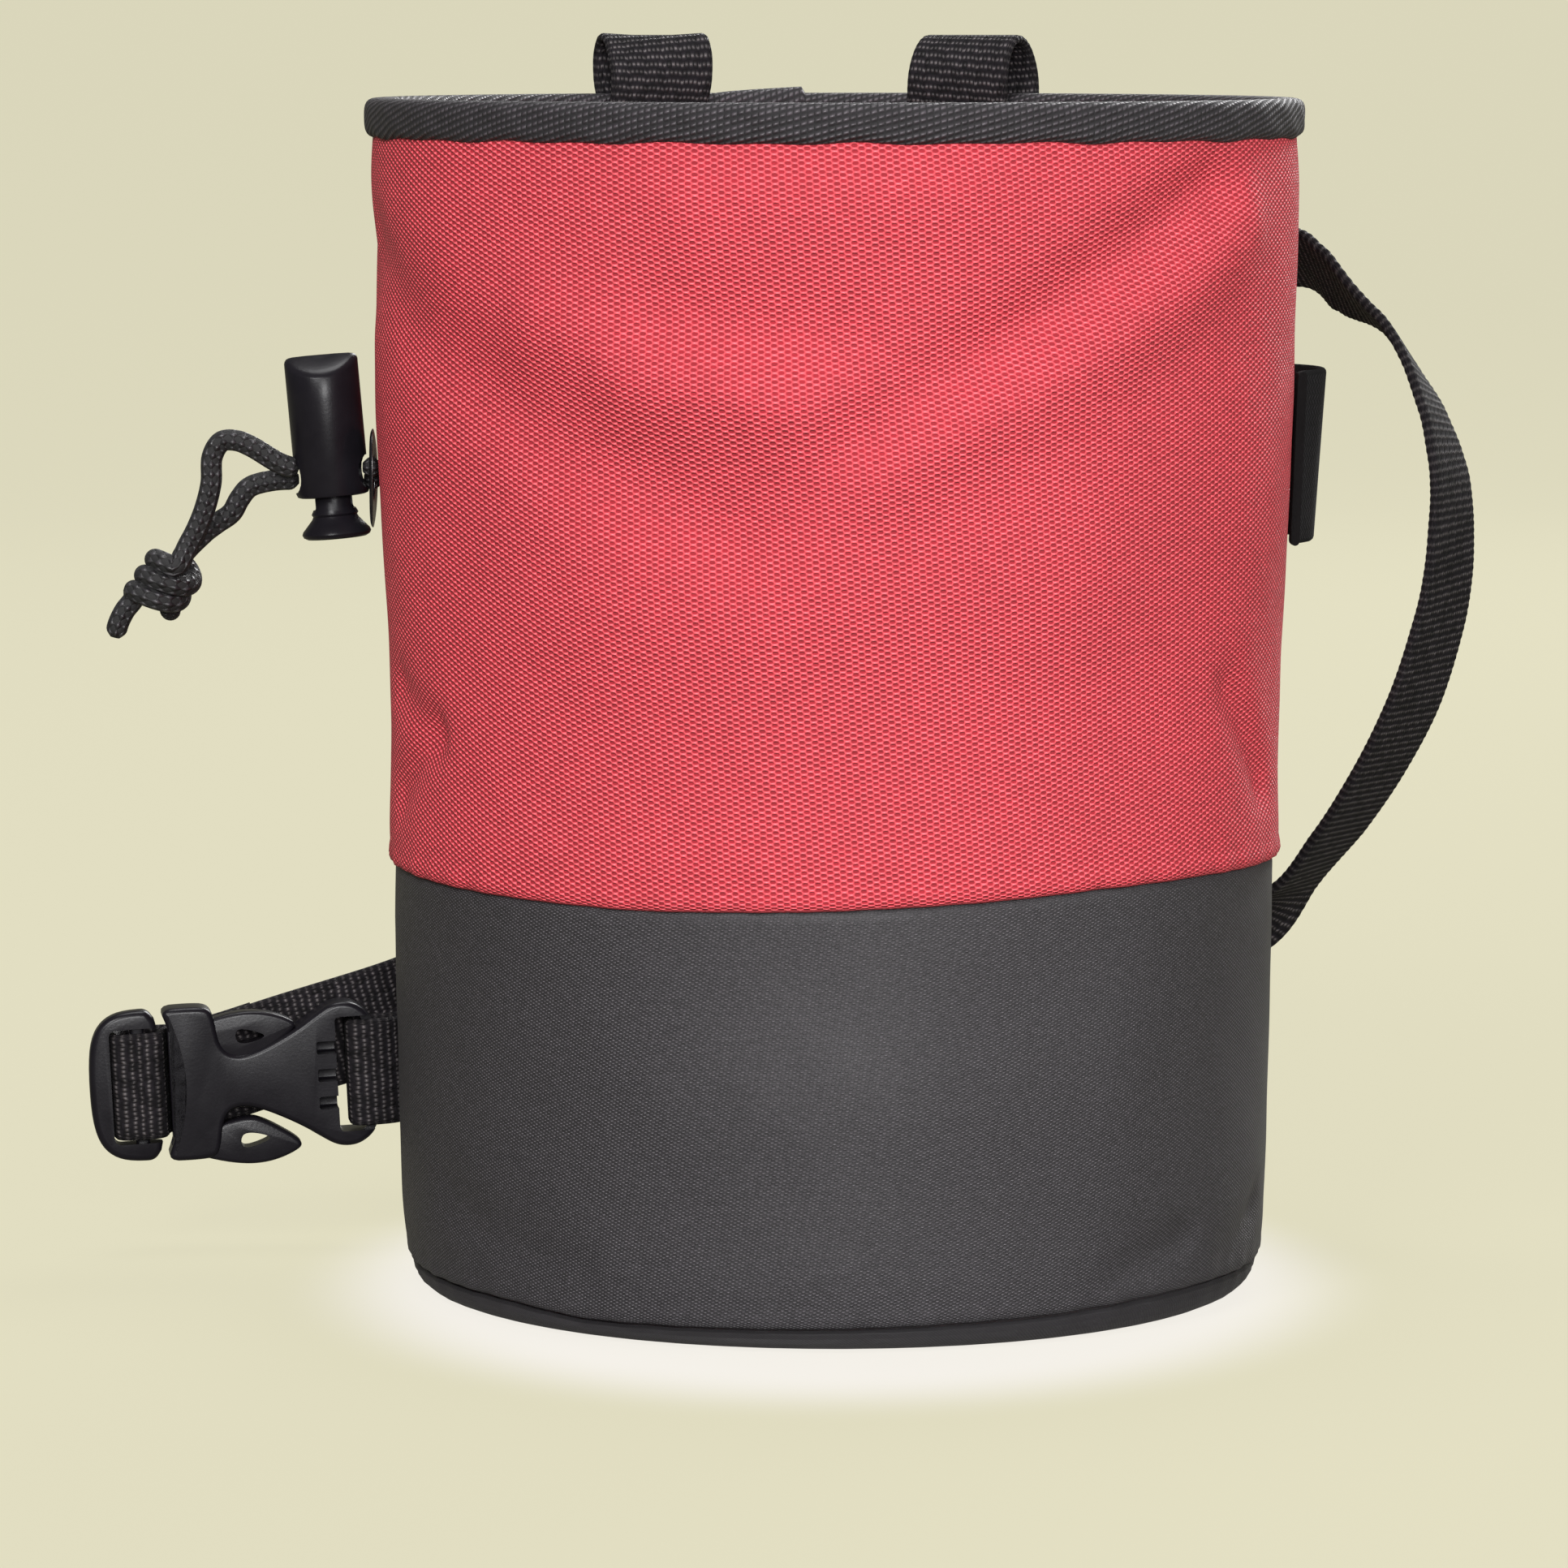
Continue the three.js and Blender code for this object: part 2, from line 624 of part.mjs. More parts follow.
// The strap windows of both halves: a belt's width high, with a bar left across for the belt to turn round.
const SLOT_HALF = BELT_WIDE / 2 + 2 * GAP;
const SLOT_WAY = BELT_THICK + 3 * GAP;
const maleBarX = -0.7 * BUCKLE_END;
const femaleBarX = BUCKLE_END - STRAP_BAR / 2;
const mouthX = -0.42 * BUCKLE_END;

function buckleMale() {
  const frame = mirroredPlate(MALE_FRAME, FRAME_THICK);
  const barHalf = SLOT_HALF + STRAP_BAR / 2;
  const bar = block(maleBarX - STRAP_BAR / 2, maleBarX + STRAP_BAR / 2, -barHalf, barHalf, MALE_BAR_THICK);
  const slots = block(
    maleBarX - STRAP_BAR / 2 - SLOT_WAY,
    maleBarX + STRAP_BAR / 2 + SLOT_WAY,
    -SLOT_HALF,
    SLOT_HALF,
    2 * FRAME_THICK,
  );
  const open = cut(frame, slots);
  const wing = (up) => plate(new THREE.Shape(PRONG_WING.map(([x, y]) => sized([x - 0.01, up * y]))), PRONG_THICK, 0);
  const neck = block(-0.56 * BUCKLE_END, mouthX, -0.74 * BUCKLE_HALF, 0.74 * BUCKLE_HALF, PRONG_THICK);
  const guide = block(1.1 * mouthX, 0.28 * BUCKLE_END, -0.2 * BUCKLE_HALF, 0.2 * BUCKLE_HALF, PRONG_THICK);
  return joined(open, bar, neck, wing(1), wing(-1), guide);
}

function buckleFemale() {
  const body = mirroredPlate(FEMALE_BODY, BUCKLE_THICK);
  const hollow = PRONG_THICK + 2 * BUCKLE_FIT;
  const mouth = block(-BUCKLE_END, 0.5 * BUCKLE_END, -0.8 * BUCKLE_HALF, 0.8 * BUCKLE_HALF, hollow);
  const windowAt = (up) => {
    const [low, high] = [0.36 * BUCKLE_HALF, 1.2 * BUCKLE_HALF];
    const [y0, y1] = [Math.min(up * low, up * high), Math.max(up * low, up * high)];
    return block(-0.06 * BUCKLE_END, 0.56 * BUCKLE_END, y0, y1, 1.5 * BUCKLE_THICK);
  };
  const slot = block(
    femaleBarX - STRAP_BAR / 2 - SLOT_WAY,
    femaleBarX - STRAP_BAR / 2,
    -SLOT_HALF,
    SLOT_HALF,
    2 * BUCKLE_THICK,
  );
  const slotEnd = femaleBarX - STRAP_BAR / 2 - 0.78 * SLOT_WAY;
  const ladder = block(slotEnd - LADDER_LONG, slotEnd, -LADDER_HALF, LADDER_HALF, 2 * BUCKLE_THICK);
  const overBar = (side) => block(
    femaleBarX - STRAP_BAR,
    BUCKLE_END + STRAP_BAR,
    -SLOT_HALF,
    SLOT_HALF,
    BUCKLE_THICK,
    (side * (FEMALE_BAR_THICK + BUCKLE_THICK)) / 2,
  );
  return cut(body, mouth, windowAt(1), windowAt(-1), slot, ladder, overBar(1), overBar(-1));
}

// Rows of the belt's route where it lies on the wall, from one turn and height to another.
function alongWall(fromTurn, toTurn, fromUp, toUp) {
  const count = Math.ceil(Math.abs(toTurn - fromTurn) / 12);
  return Array.from({ length: count + 1 }, (_, i) => ({
    turn: THREE.MathUtils.lerp(fromTurn, toTurn, i / count),
    clear: 0.004,
    up: THREE.MathUtils.lerp(fromUp, toUp, i / count),
    edge: [0, 0, 1],
  }));
}

// The belt's route between the buckle's two ends, once round behind the bag and back: turn from the front,
// how far it stands clear of the wall as a share of BODY_R, height as a share of BODY_H, and the
// direction of its width.
const BELT_ROUTE = [
  { turn: -118.5, clear: 0.072, up: 0.162, edge: [0, 0, 1] },
  { turn: -131, clear: 0.022, up: 0.17, edge: [0, 0, 1] },
  ...alongWall(-142, -214, 0.178, 0.25),
  { turn: 133, clear: 0.033, up: 0.264, edge: [-0.08, -0.15, 1] },
  { turn: 123, clear: 0.105, up: 0.285, edge: [-0.2, -0.6, 0.78] },
  { turn: 115.8, clear: 0.174, up: 0.319, edge: [-0.24, -0.94, 0.24] },
  { turn: 111, clear: 0.228, up: 0.369, edge: [-0.32, -0.91, 0.27] },
  { turn: 107.2, clear: 0.291, up: 0.427, edge: [-0.4, -0.88, 0.25] },
  { turn: 104.3, clear: 0.346, up: 0.488, edge: [-0.47, -0.86, 0.2] },
  { turn: 102.2, clear: 0.38, up: 0.5535, edge: [-0.49, -0.86, 0.12] },
  { turn: 101.2, clear: 0.39, up: 0.5984, edge: [-0.48, -0.88, 0.05] },
  { turn: 100.7, clear: 0.388, up: 0.642, edge: [-0.45, -0.9, 0.01] },
  { turn: 100.7, clear: 0.381, up: 0.682, edge: [-0.39, -0.92, -0.02] },
  { turn: 101, clear: 0.366, up: 0.711, edge: [-0.32, -0.95, -0.06] },
  { turn: 101.9, clear: 0.339, up: 0.747, edge: [-0.2, -0.98, -0.09] },
  { turn: 103.7, clear: 0.295, up: 0.789, edge: [-0.07, -1, -0.03] },
  { turn: 105.8, clear: 0.254, up: 0.82, edge: [0, -1, 0] },
  { turn: 108.5, clear: 0.2, up: 0.844, edge: [0.1, -0.99, 0.1] },
  { turn: 111.5, clear: 0.169, up: 0.861, edge: [0.15, -0.97, 0.21] },
  { turn: 116.2, clear: 0.14, up: 0.877, edge: [0.07, -0.95, 0.35] },
  { turn: 126, clear: 0.055, up: 0.89, edge: [0.05, -0.5, 0.86] },
  ...alongWall(140, 190, KEEPER_UP, KEEPER_UP),
  { turn: -162, clear: 0.032, up: 0.892, edge: [-0.05, 0.1, 1] },
  { turn: -156, clear: 0.062, up: 0.878, edge: [-0.3, 0.35, 0.85] },
  { turn: -147, clear: 0.11, up: 0.832, edge: [-0.4, 0.75, 0.4] },
  { turn: -141.5, clear: 0.182, up: 0.752, edge: [-0.1, 0.95, 0.1] },
  { turn: -139.5, clear: 0.228, up: 0.65, edge: [0, 1, 0] },
  { turn: -138.5, clear: 0.243, up: 0.545, edge: [0, 1, 0] },
  { turn: -138, clear: 0.235, up: 0.44, edge: [0, 1, 0.05] },
  { turn: -137, clear: 0.212, up: 0.35, edge: [-0.15, 0.95, 0.15] },
  { turn: -134.5, clear: 0.187, up: 0.278, edge: [-0.3, 0.8, 0.4] },
  { turn: -130.5, clear: 0.17, up: 0.23, edge: [-0.3, 0.55, 0.78] },
  { turn: -125, clear: 0.16, up: 0.211, edge: [-0.15, 0.2, 1] },
  { turn: -119.3, clear: 0.18, up: 0.201, edge: [-0.08, 0.05, 1] },
];

// The belt turns round a bar of each buckle half. Places are in the buckle's frame, measured from the bar.
function aroundBar(barX, places) {
  const edge = new THREE.Vector3(0, 1, 0).transformDirection(buckle.matrixWorld);
  return places.map(([x, y, z]) => ({
    at: buckle.localToWorld(new THREE.Vector3(barX + x, y, z)),
    edge,
  }));
}

function beltWebbing() {
  root.updateMatrixWorld(true);
  const beside = STRAP_BAR / 2 + GAP + BELT_THICK / 2;
  const over = FEMALE_BAR_THICK / 2 + GAP + BELT_THICK / 2;
  const wide = BELT_WIDE;
  const fixedEnd = aroundBar(femaleBarX, [
    [0.84 * wide, 0, -over - 0.333 * wide],
    [0.533 * wide, 0, -over - 0.147 * wide],
    [0.28 * wide, 0, -over - 0.04 * wide],
    [0.067 * wide, 0, -over - 0.007 * wide],
    [-0.88 * beside, 0, -0.84 * over],
    [-beside, 0, 0],
    [-0.88 * beside, 0, 0.84 * over],
    [0.067 * wide, 0, over + 0.007 * wide],
    [0.267 * wide, 0, 0.6 * over],
  ]);
  const route = BELT_ROUTE.map(({ turn, clear, up, edge }) => {
    const z = up * BODY_H;
    const wallR = z > COLOUR_SEAM_Z ? upperRadius(z) : lowerRadius(z);
    return {
      at: onRound(turn, wallR + GAP + BELT_THICK / 2 + clear * BODY_R, z),
      edge: new THREE.Vector3(...edge),
    };
  });
  const onBar = MALE_BAR_THICK / 2 + GAP + BELT_THICK / 2;
  const behind = BUCKLE_THICK / 2 + 2 * GAP + BELT_THICK / 2;
  const under = behind + BELT_THICK + GAP;
  const adjustingEnd = aroundBar(maleBarX, [
    [1.333 * wide, 0.2 * wide, -behind - 0.04 * wide],
    [0.8 * wide, 0.067 * wide, -behind],
    [0.4 * wide, 0, -behind],
    [0.213 * wide, 0, -0.86 * behind],
    [beside, 0, -0.06 * wide],
    [0.86 * beside, 0, 0.86 * onBar],
    [0, 0, 1.1 * onBar],
    [-0.86 * beside, 0, 0.86 * onBar],
    [-beside, 0, -0.06 * wide],
    [-0.8 * beside, 0, -0.7 * under],
    [0.08 * wide, 0, -under - 0.013 * wide],
    [0.4 * wide, 0, -under - 0.02 * wide],
    [0.8 * wide, 0.067 * wide, -under - 0.02 * wide],
    [1.2 * wide, 0.16 * wide, -under - 0.06 * wide],
  ]);
  return strap([...fixedEnd, ...route, ...adjustingEnd], BELT_WIDE, BELT_THICK, 160);
}

addMesh("upper_body", upperBody(), "red_weave");
addMesh("lower_body", lowerBody(), "charcoal_coated");
addMesh("base_panel", basePanel(), "charcoal_coated");
addMesh("rim_binding", rimBinding(), "black_tape");
CARRY_LOOPS.forEach((loop) => addMesh(loop.name, carryLoop(loop), "black_webbing"));
addMesh("brush_loop", brushLoop(), "black_elastic");
addMesh("belt_keeper", beltKeeper(), "black_webbing");
addMesh("cord_eyelet", cordEyelet(), "eyelet_gloss");
addMesh("lock_barrel", lockBarrel(), "black_plastic", lock);
addMesh("lock_plunger", lockPlunger(), "black_plastic", lock);
addMesh("drawcord_upper", cordTube(UPPER_CORD), "black_cord");
addMesh("drawcord_lower", cordTube(LOWER_CORD), "black_cord");
addMesh("drawcord_knot", drawcordKnot(), "black_cord");
addMesh("buckle_female", buckleFemale(), "black_plastic", buckle);
addMesh("buckle_male", buckleMale(), "black_plastic", buckle);
addMesh("belt_webbing", beltWebbing(), "black_webbing");

export default root;
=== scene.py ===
import logging
import math
from collections.abc import Callable, Sequence
from dataclasses import dataclass, field
from enum import Enum

import bpy
import numpy as np
from mathutils import Matrix, Vector


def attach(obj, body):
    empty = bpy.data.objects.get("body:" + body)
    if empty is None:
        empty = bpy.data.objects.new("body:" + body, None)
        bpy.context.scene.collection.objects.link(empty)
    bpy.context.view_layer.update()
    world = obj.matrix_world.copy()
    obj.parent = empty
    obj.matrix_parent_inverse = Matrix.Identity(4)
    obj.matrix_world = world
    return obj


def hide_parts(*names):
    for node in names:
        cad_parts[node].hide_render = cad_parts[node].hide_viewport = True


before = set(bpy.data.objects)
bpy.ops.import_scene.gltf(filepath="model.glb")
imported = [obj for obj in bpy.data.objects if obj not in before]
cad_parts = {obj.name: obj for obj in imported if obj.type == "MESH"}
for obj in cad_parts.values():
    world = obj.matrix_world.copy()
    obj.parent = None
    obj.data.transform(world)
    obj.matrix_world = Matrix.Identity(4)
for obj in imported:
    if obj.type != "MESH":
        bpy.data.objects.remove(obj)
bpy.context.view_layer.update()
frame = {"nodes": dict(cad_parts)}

log = logging.getLogger("chalk_bag")

MM = 0.001
BODY_R = 62.5
BODY_H = 158.0
WALL = 2.0
GAP = 0.3
FOLD_GAIN = 1.25
BAG = "bag"
PLUNGER = "plunger"

Colour = tuple[float, float, float]
Place = Callable[[np.ndarray, np.ndarray], np.ndarray]


class Slot(Enum):
    """The record's material slots."""

    RED = "red_weave"
    CHARCOAL = "charcoal_coated"
    TAPE = "black_tape"
    WEBBING = "black_webbing"
    ELASTIC = "black_elastic"
    PLASTIC = "black_plastic"
    GLOSS = "eyelet_gloss"
    CORD = "black_cord"


def on_round(turn: np.ndarray | float, radius: np.ndarray | float, z: np.ndarray | float) -> np.ndarray:
    """Points on the round of the bag.

    Args:
        turn: Degrees from the front, positive to the right.
        radius: Distance from the bag's axis.
        z: Height above the floor.

    Returns:
        The points, one row each.
    """
    angle = np.radians(turn)
    x, y, z = np.broadcast_arrays(radius * np.sin(angle), -radius * np.cos(angle), z)
    return np.stack([x, y, z], axis=-1).astype(float)


class Bench:
    """The few operator steps that every piece goes through."""

    @staticmethod
    def clear() -> None:
        """Leaves nothing selected."""
        bpy.ops.object.select_all(action="DESELECT")

    @staticmethod
    def pick(piece: bpy.types.Object) -> None:
        """Selects one piece alone.

        Args:
            piece: The piece.
        """
        Bench.clear()
        piece.select_set(True)
        bpy.context.view_layer.objects.active = piece

    @staticmethod
    def named(name: str) -> bpy.types.Object:
        """The piece that was just added, with its name."""
        piece = bpy.context.object
        piece.name = name
        piece.data.name = name
        return piece

    @staticmethod
    def whole_edit(piece: bpy.types.Object, *steps: Callable[[], object]) -> None:
        """Runs edit-mode steps with the whole mesh selected.

        Args:
            piece: The piece.
            steps: The steps in order.
        """
        Bench.pick(piece)
        bpy.ops.object.mode_set(mode="EDIT")
        bpy.ops.mesh.select_all(action="SELECT")
        for step in steps:
            step()
        bpy.ops.object.mode_set(mode="OBJECT")

    @staticmethod
    def modify(piece: bpy.types.Object, kind: str, **settings: object) -> None:
        """Adds a modifier with its settings and applies it.

        Args:
            piece: The piece.
            kind: The modifier's type.
            settings: Its settings by name.
        """
        Bench.pick(piece)
        bpy.ops.object.modifier_add(type=kind)
        modifier = piece.modifiers[-1]
        for name, value in settings.items():
            setattr(modifier, name, value)
        bpy.ops.object.modifier_apply(modifier=modifier.name)

    @staticmethod
    def smooth(piece: bpy.types.Object, angle: float = 40.0) -> None:
        """Shades a piece smooth up to an angle in degrees."""
        Bench.pick(piece)
        bpy.ops.object.shade_smooth_by_angle(angle=math.radians(angle))

    @staticmethod
    def moved(piece: bpy.types.Object, matrix: Matrix) -> None:
        """Places a piece by a matrix in millimetres and leaves its object at the origin.

        Args:
            piece: The piece.
            matrix: Its place.
        """
        scaled = Matrix.Scale(MM, 4) @ matrix
        piece.data.transform(scaled)
        piece.data.update()

    @staticmethod
    def carve(piece: bpy.types.Object, cutter: bpy.types.Object) -> None:
        """Cuts one piece out of another and removes the cutter."""
        Bench.modify(piece, "BOOLEAN", operation="DIFFERENCE", object=cutter, solver="EXACT")
        bpy.data.objects.remove(cutter, do_unlink=True)

    @staticmethod
    def weld(piece: bpy.types.Object, added: bpy.types.Object) -> None:
        """Joins one solid into another and removes the added one."""
        Bench.modify(piece, "BOOLEAN", operation="UNION", object=added, solver="EXACT")
        bpy.data.objects.remove(added, do_unlink=True)


def sheet(
    name: str,
    cells: tuple[int, int],
    place: Place,
    cloth: tuple[float, float],
    fill: bool = False,
    unit: float = MM,
) -> bpy.types.Object:
    """A grid laid over a shape, with the edges that meet joined.

    Args:
        name: Name of the piece.
        cells: Count of faces along the grid's first and second way.
        place: Gives a point in millimetres for each pair of shares from 0 to 1.
        cloth: Real length of the grid's two ways, for the pattern on it.
        fill: True closes the open ends.
        unit: Length of one millimetre in the mesh; 1 keeps a piece in its own frame for cuts.

    Returns:
        The piece, with a UV map in metres of cloth.
    """
    Bench.clear()
    bpy.ops.mesh.primitive_grid_add(x_subdivisions=cells[0], y_subdivisions=cells[1], size=2)
    piece = Bench.named(name)
    mesh = piece.data
    flat = np.empty(len(mesh.vertices) * 3)
    mesh.vertices.foreach_get("co", flat)
    share = (flat.reshape(-1, 3)[:, :2] + 1) / 2
    mesh.vertices.foreach_set("co", (place(share[:, 0], share[:, 1]) * unit).ravel())
    corner = np.empty(len(mesh.loops), dtype=np.int32)
    mesh.loops.foreach_get("vertex_index", corner)
    mesh.uv_layers[0].data.foreach_set("uv", (share[corner] * np.array(cloth) * MM).ravel())
    mesh.update()
    steps: list[Callable[[], object]] = [lambda: bpy.ops.mesh.remove_doubles(threshold=0.002 * unit)]
    if fill:
        steps.append(lambda: bpy.ops.mesh.fill_holes(sides=0))
    steps.append(lambda: bpy.ops.mesh.normals_make_consistent(inside=False))
    Bench.whole_edit(piece, *steps)
    return piece


def turned(
    name: str, profile: Sequence[tuple[float, float]], around: int, finish: int = 1, unit: float = 1.0
) -> bpy.types.Object:
    """A closed profile of radius and height turned about the Z axis.

    Args:
        name: Name of the piece.
        profile: Pairs of radius and height, from the axis back to the axis or closed on itself.
        around: Faces around the turn.
        finish: Faces between two points of the profile.
        unit: Length of one millimetre in the mesh.

    Returns:
        The turned solid.
    """
    pairs = np.array(profile, dtype=float)
    ticks = np.linspace(0, 1, len(pairs))

    def place(u: np.ndarray, v: np.ndarray) -> np.ndarray:
        """Points of the turned profile."""
        return on_round(u * 360, np.interp(v, ticks, pairs[:, 0]), np.interp(v, ticks, pairs[:, 1]))

    girth = 2 * math.pi * pairs[:, 0].max()
    length = float(np.hypot(*np.diff(pairs, axis=0).T).sum())
    return sheet(name, (around, finish * (len(pairs) - 1)), place, (girth, length), unit=unit)


def rounded(corners: Sequence[tuple[float, float]], cuts: int = 2) -> list[tuple[float, float]]:
    """Rounds a closed outline by cutting its corners a few times.

    Args:
        corners: The outline's corners in order.
        cuts: How often each corner is cut.

    Returns:
        The rounded outline.
    """
    points = np.array(corners, dtype=float)
    for _ in range(cuts):
        after = np.roll(points, -1, axis=0)
        points = np.stack([0.75 * points + 0.25 * after, 0.25 * points + 0.75 * after], axis=1).reshape(-1, 2)
    return [tuple(point) for point in points]


def plate(name: str, outline: Sequence[tuple[float, float]], low: float, high: float) -> bpy.types.Object:
    """A flat plate of a given outline, between two heights of its own frame.

    Args:
        name: Name of the piece.
        outline: The outline's corners in order.
        low: Height of its underside.
        high: Height of its upper side.

    Returns:
        The plate, in millimetres.
    """
    Bench.clear()
    bpy.ops.mesh.primitive_circle_add(vertices=len(outline), radius=1, fill_type="NGON")
    piece = Bench.named(name)
    for vertex, (x, y) in zip(piece.data.vertices, outline, strict=True):
        vertex.co = (x, y, low)
    Bench.whole_edit(
        piece,
        lambda: bpy.ops.mesh.extrude_region_move(TRANSFORM_OT_translate={"value": (0, 0, high - low)}),
        lambda: bpy.ops.mesh.select_all(action="SELECT"),
        lambda: bpy.ops.mesh.normals_make_consistent(inside=False),
    )
    return piece


def block(name: str, low: tuple[float, float, float], high: tuple[float, float, float], edge: float = 0.0,
          ) -> bpy.types.Object:
    """A block between two corners, with its edges rounded.

    Args:
        name: Name of the piece.
        low: Its lowest corner.
        high: Its highest corner.
        edge: Radius of its edges.

    Returns:
        The block, in millimetres.
    """
    Bench.clear()
    middle = [(a + b) / 2 for a, b in zip(low, high, strict=True)]
    bpy.ops.mesh.primitive_cube_add(size=1, location=middle, scale=[b - a for a, b in zip(low, high, strict=True)])
    piece = Bench.named(name)
    bpy.ops.object.transform_apply(location=True, rotation=True, scale=True)
    if edge:
        Bench.modify(piece, "BEVEL", width=edge, segments=4, limit_method="NONE")
    return piece


@dataclass
class Route:
    """A line through given rows, with the way its width points in each.

    Attributes:
        rows: Points in order.
        edges: Direction of the width at each point.
        spare: Samples between two points.
    """

    rows: np.ndarray
    edges: np.ndarray
    spare: int = 24
    points: np.ndarray = field(init=False)
    sides: np.ndarray = field(init=False)
    faces: np.ndarray = field(init=False)
    run: np.ndarray = field(init=False)

    def __post_init__(self) -> None:
        """Works out the smooth line, its frames and its length."""
        rows = np.asarray(self.rows, dtype=float)
        edges = np.asarray(self.edges, dtype=float)
        self.points = self._through(rows, centripetal=True)
        self.sides = self._through(edges, centripetal=False)
        ahead = np.gradient(self.points, axis=0)
        ahead /= np.linalg.norm(ahead, axis=1, keepdims=True)
        self.sides = self.sides - ahead * np.sum(self.sides * ahead, axis=1, keepdims=True)
        self.sides /= np.linalg.norm(self.sides, axis=1, keepdims=True)
        self.faces = np.cross(self.sides, ahead)
        steps = np.linalg.norm(np.diff(self.points, axis=0), axis=1)
        self.run = np.concatenate([[0.0], np.cumsum(steps)])

    def _through(self, rows: np.ndarray, centripetal: bool) -> np.ndarray:
        """A smooth line through the rows.

        Args:
            rows: The rows in order.
            centripetal: True spaces the knots by distance, False takes a gentle even spacing.

        Returns:
            The samples along it.
        """
        ends = np.vstack([2 * rows[0] - rows[1], rows, 2 * rows[-1] - rows[-2]])
        share = np.linspace(0, 1, self.spare, endpoint=False)[:, None]
        parts = []
        for a, b, c, d in zip(ends, ends[1:], ends[2:], ends[3:]):
            if centripetal:
                t0, t1, t2 = (max(np.linalg.norm(q - p) ** 0.5, 1e-3) for p, q in ((a, b), (b, c), (c, d)))
                m1 = ((b - a) / t0 - (c - a) / (t0 + t1) + (c - b) / t1) * t1
                m2 = ((c - b) / t1 - (d - b) / (t1 + t2) + (d - c) / t2) * t1
            else:
                m1, m2 = 0.3 * (c - a), 0.3 * (d - b)
            s, s2, s3 = share, share**2, share**3
            parts.append((2 * s3 - 3 * s2 + 1) * b + (s3 - 2 * s2 + s) * m1 + (3 * s2 - 2 * s3) * c + (s3 - s2) * m2)
        return np.vstack([*parts, rows[-1:]])

    @property
    def length(self) -> float:
        """Length of the line."""
        return float(self.run[-1])

    def at(self, share: np.ndarray, values: np.ndarray) -> np.ndarray:
        """Values at shares of the line's length."""
        where = share * self.length
        return np.stack([np.interp(where, self.run, values[:, i]) for i in range(3)], axis=-1)


@dataclass
class Strap:
    """A flat woven strap along a route.

    Attributes:
        name: Name of the piece.
        slot: Its material slot.
        route: Its line.
        wide: Its width.
        thick: Its thickness.
        steps: Faces along it.
        rib: Height of the ribs that are modelled across it, 0 for none.
        pitch: Distance from rib to rib.
    """

    name: str
    slot: Slot
    route: Route
    wide: float
    thick: float
    steps: int
    rib: float = 0.0
    pitch: float = 1.08

    def section(self, u: np.ndarray) -> tuple[np.ndarray, np.ndarray]:
        """The strap's section, once round it.

        Args:
            u: Shares of the way round.

        Returns:
            Places across the width and through the thickness.
        """
        half, low = self.wide / 2, self.thick / 2
        flat = np.linspace(-half + low, half - low, 9)
        bend = np.radians(np.linspace(-60, 60, 5))
        across = np.concatenate([flat, half - low + low * np.cos(bend[::-1]), flat[::-1],
                                 -half + low - low * np.cos(bend), flat[:1]])
        through = np.concatenate([np.full(9, low), low * np.sin(bend[::-1]), np.full(9, -low),
                                  low * np.sin(bend), [low]])
        ticks = np.linspace(0, 1, len(across))
        return np.interp(u, ticks, across), np.interp(u, ticks, through)

    def build(self) -> bpy.types.Object:
        """The strap's mesh, closed at its ends."""
        around = 28

        def place(u: np.ndarray, v: np.ndarray) -> np.ndarray:
            """Points of the strap's skin."""
            across, through = self.section(u)
            swell = 1 + self.rib / self.thick * np.cos(2 * np.pi * v * self.route.length / self.pitch)
            line = self.route.at(v, self.route.points)
            side, face = self.route.at(v, self.route.sides), self.route.at(v, self.route.faces)
            return line + side * across[:, None] + face * (through * swell)[:, None]

        girth = 2 * (self.wide + self.thick)
        piece = sheet(self.name, (around, self.steps), place, (girth, self.route.length), fill=True)
        Bench.smooth(piece, 50)
        return piece


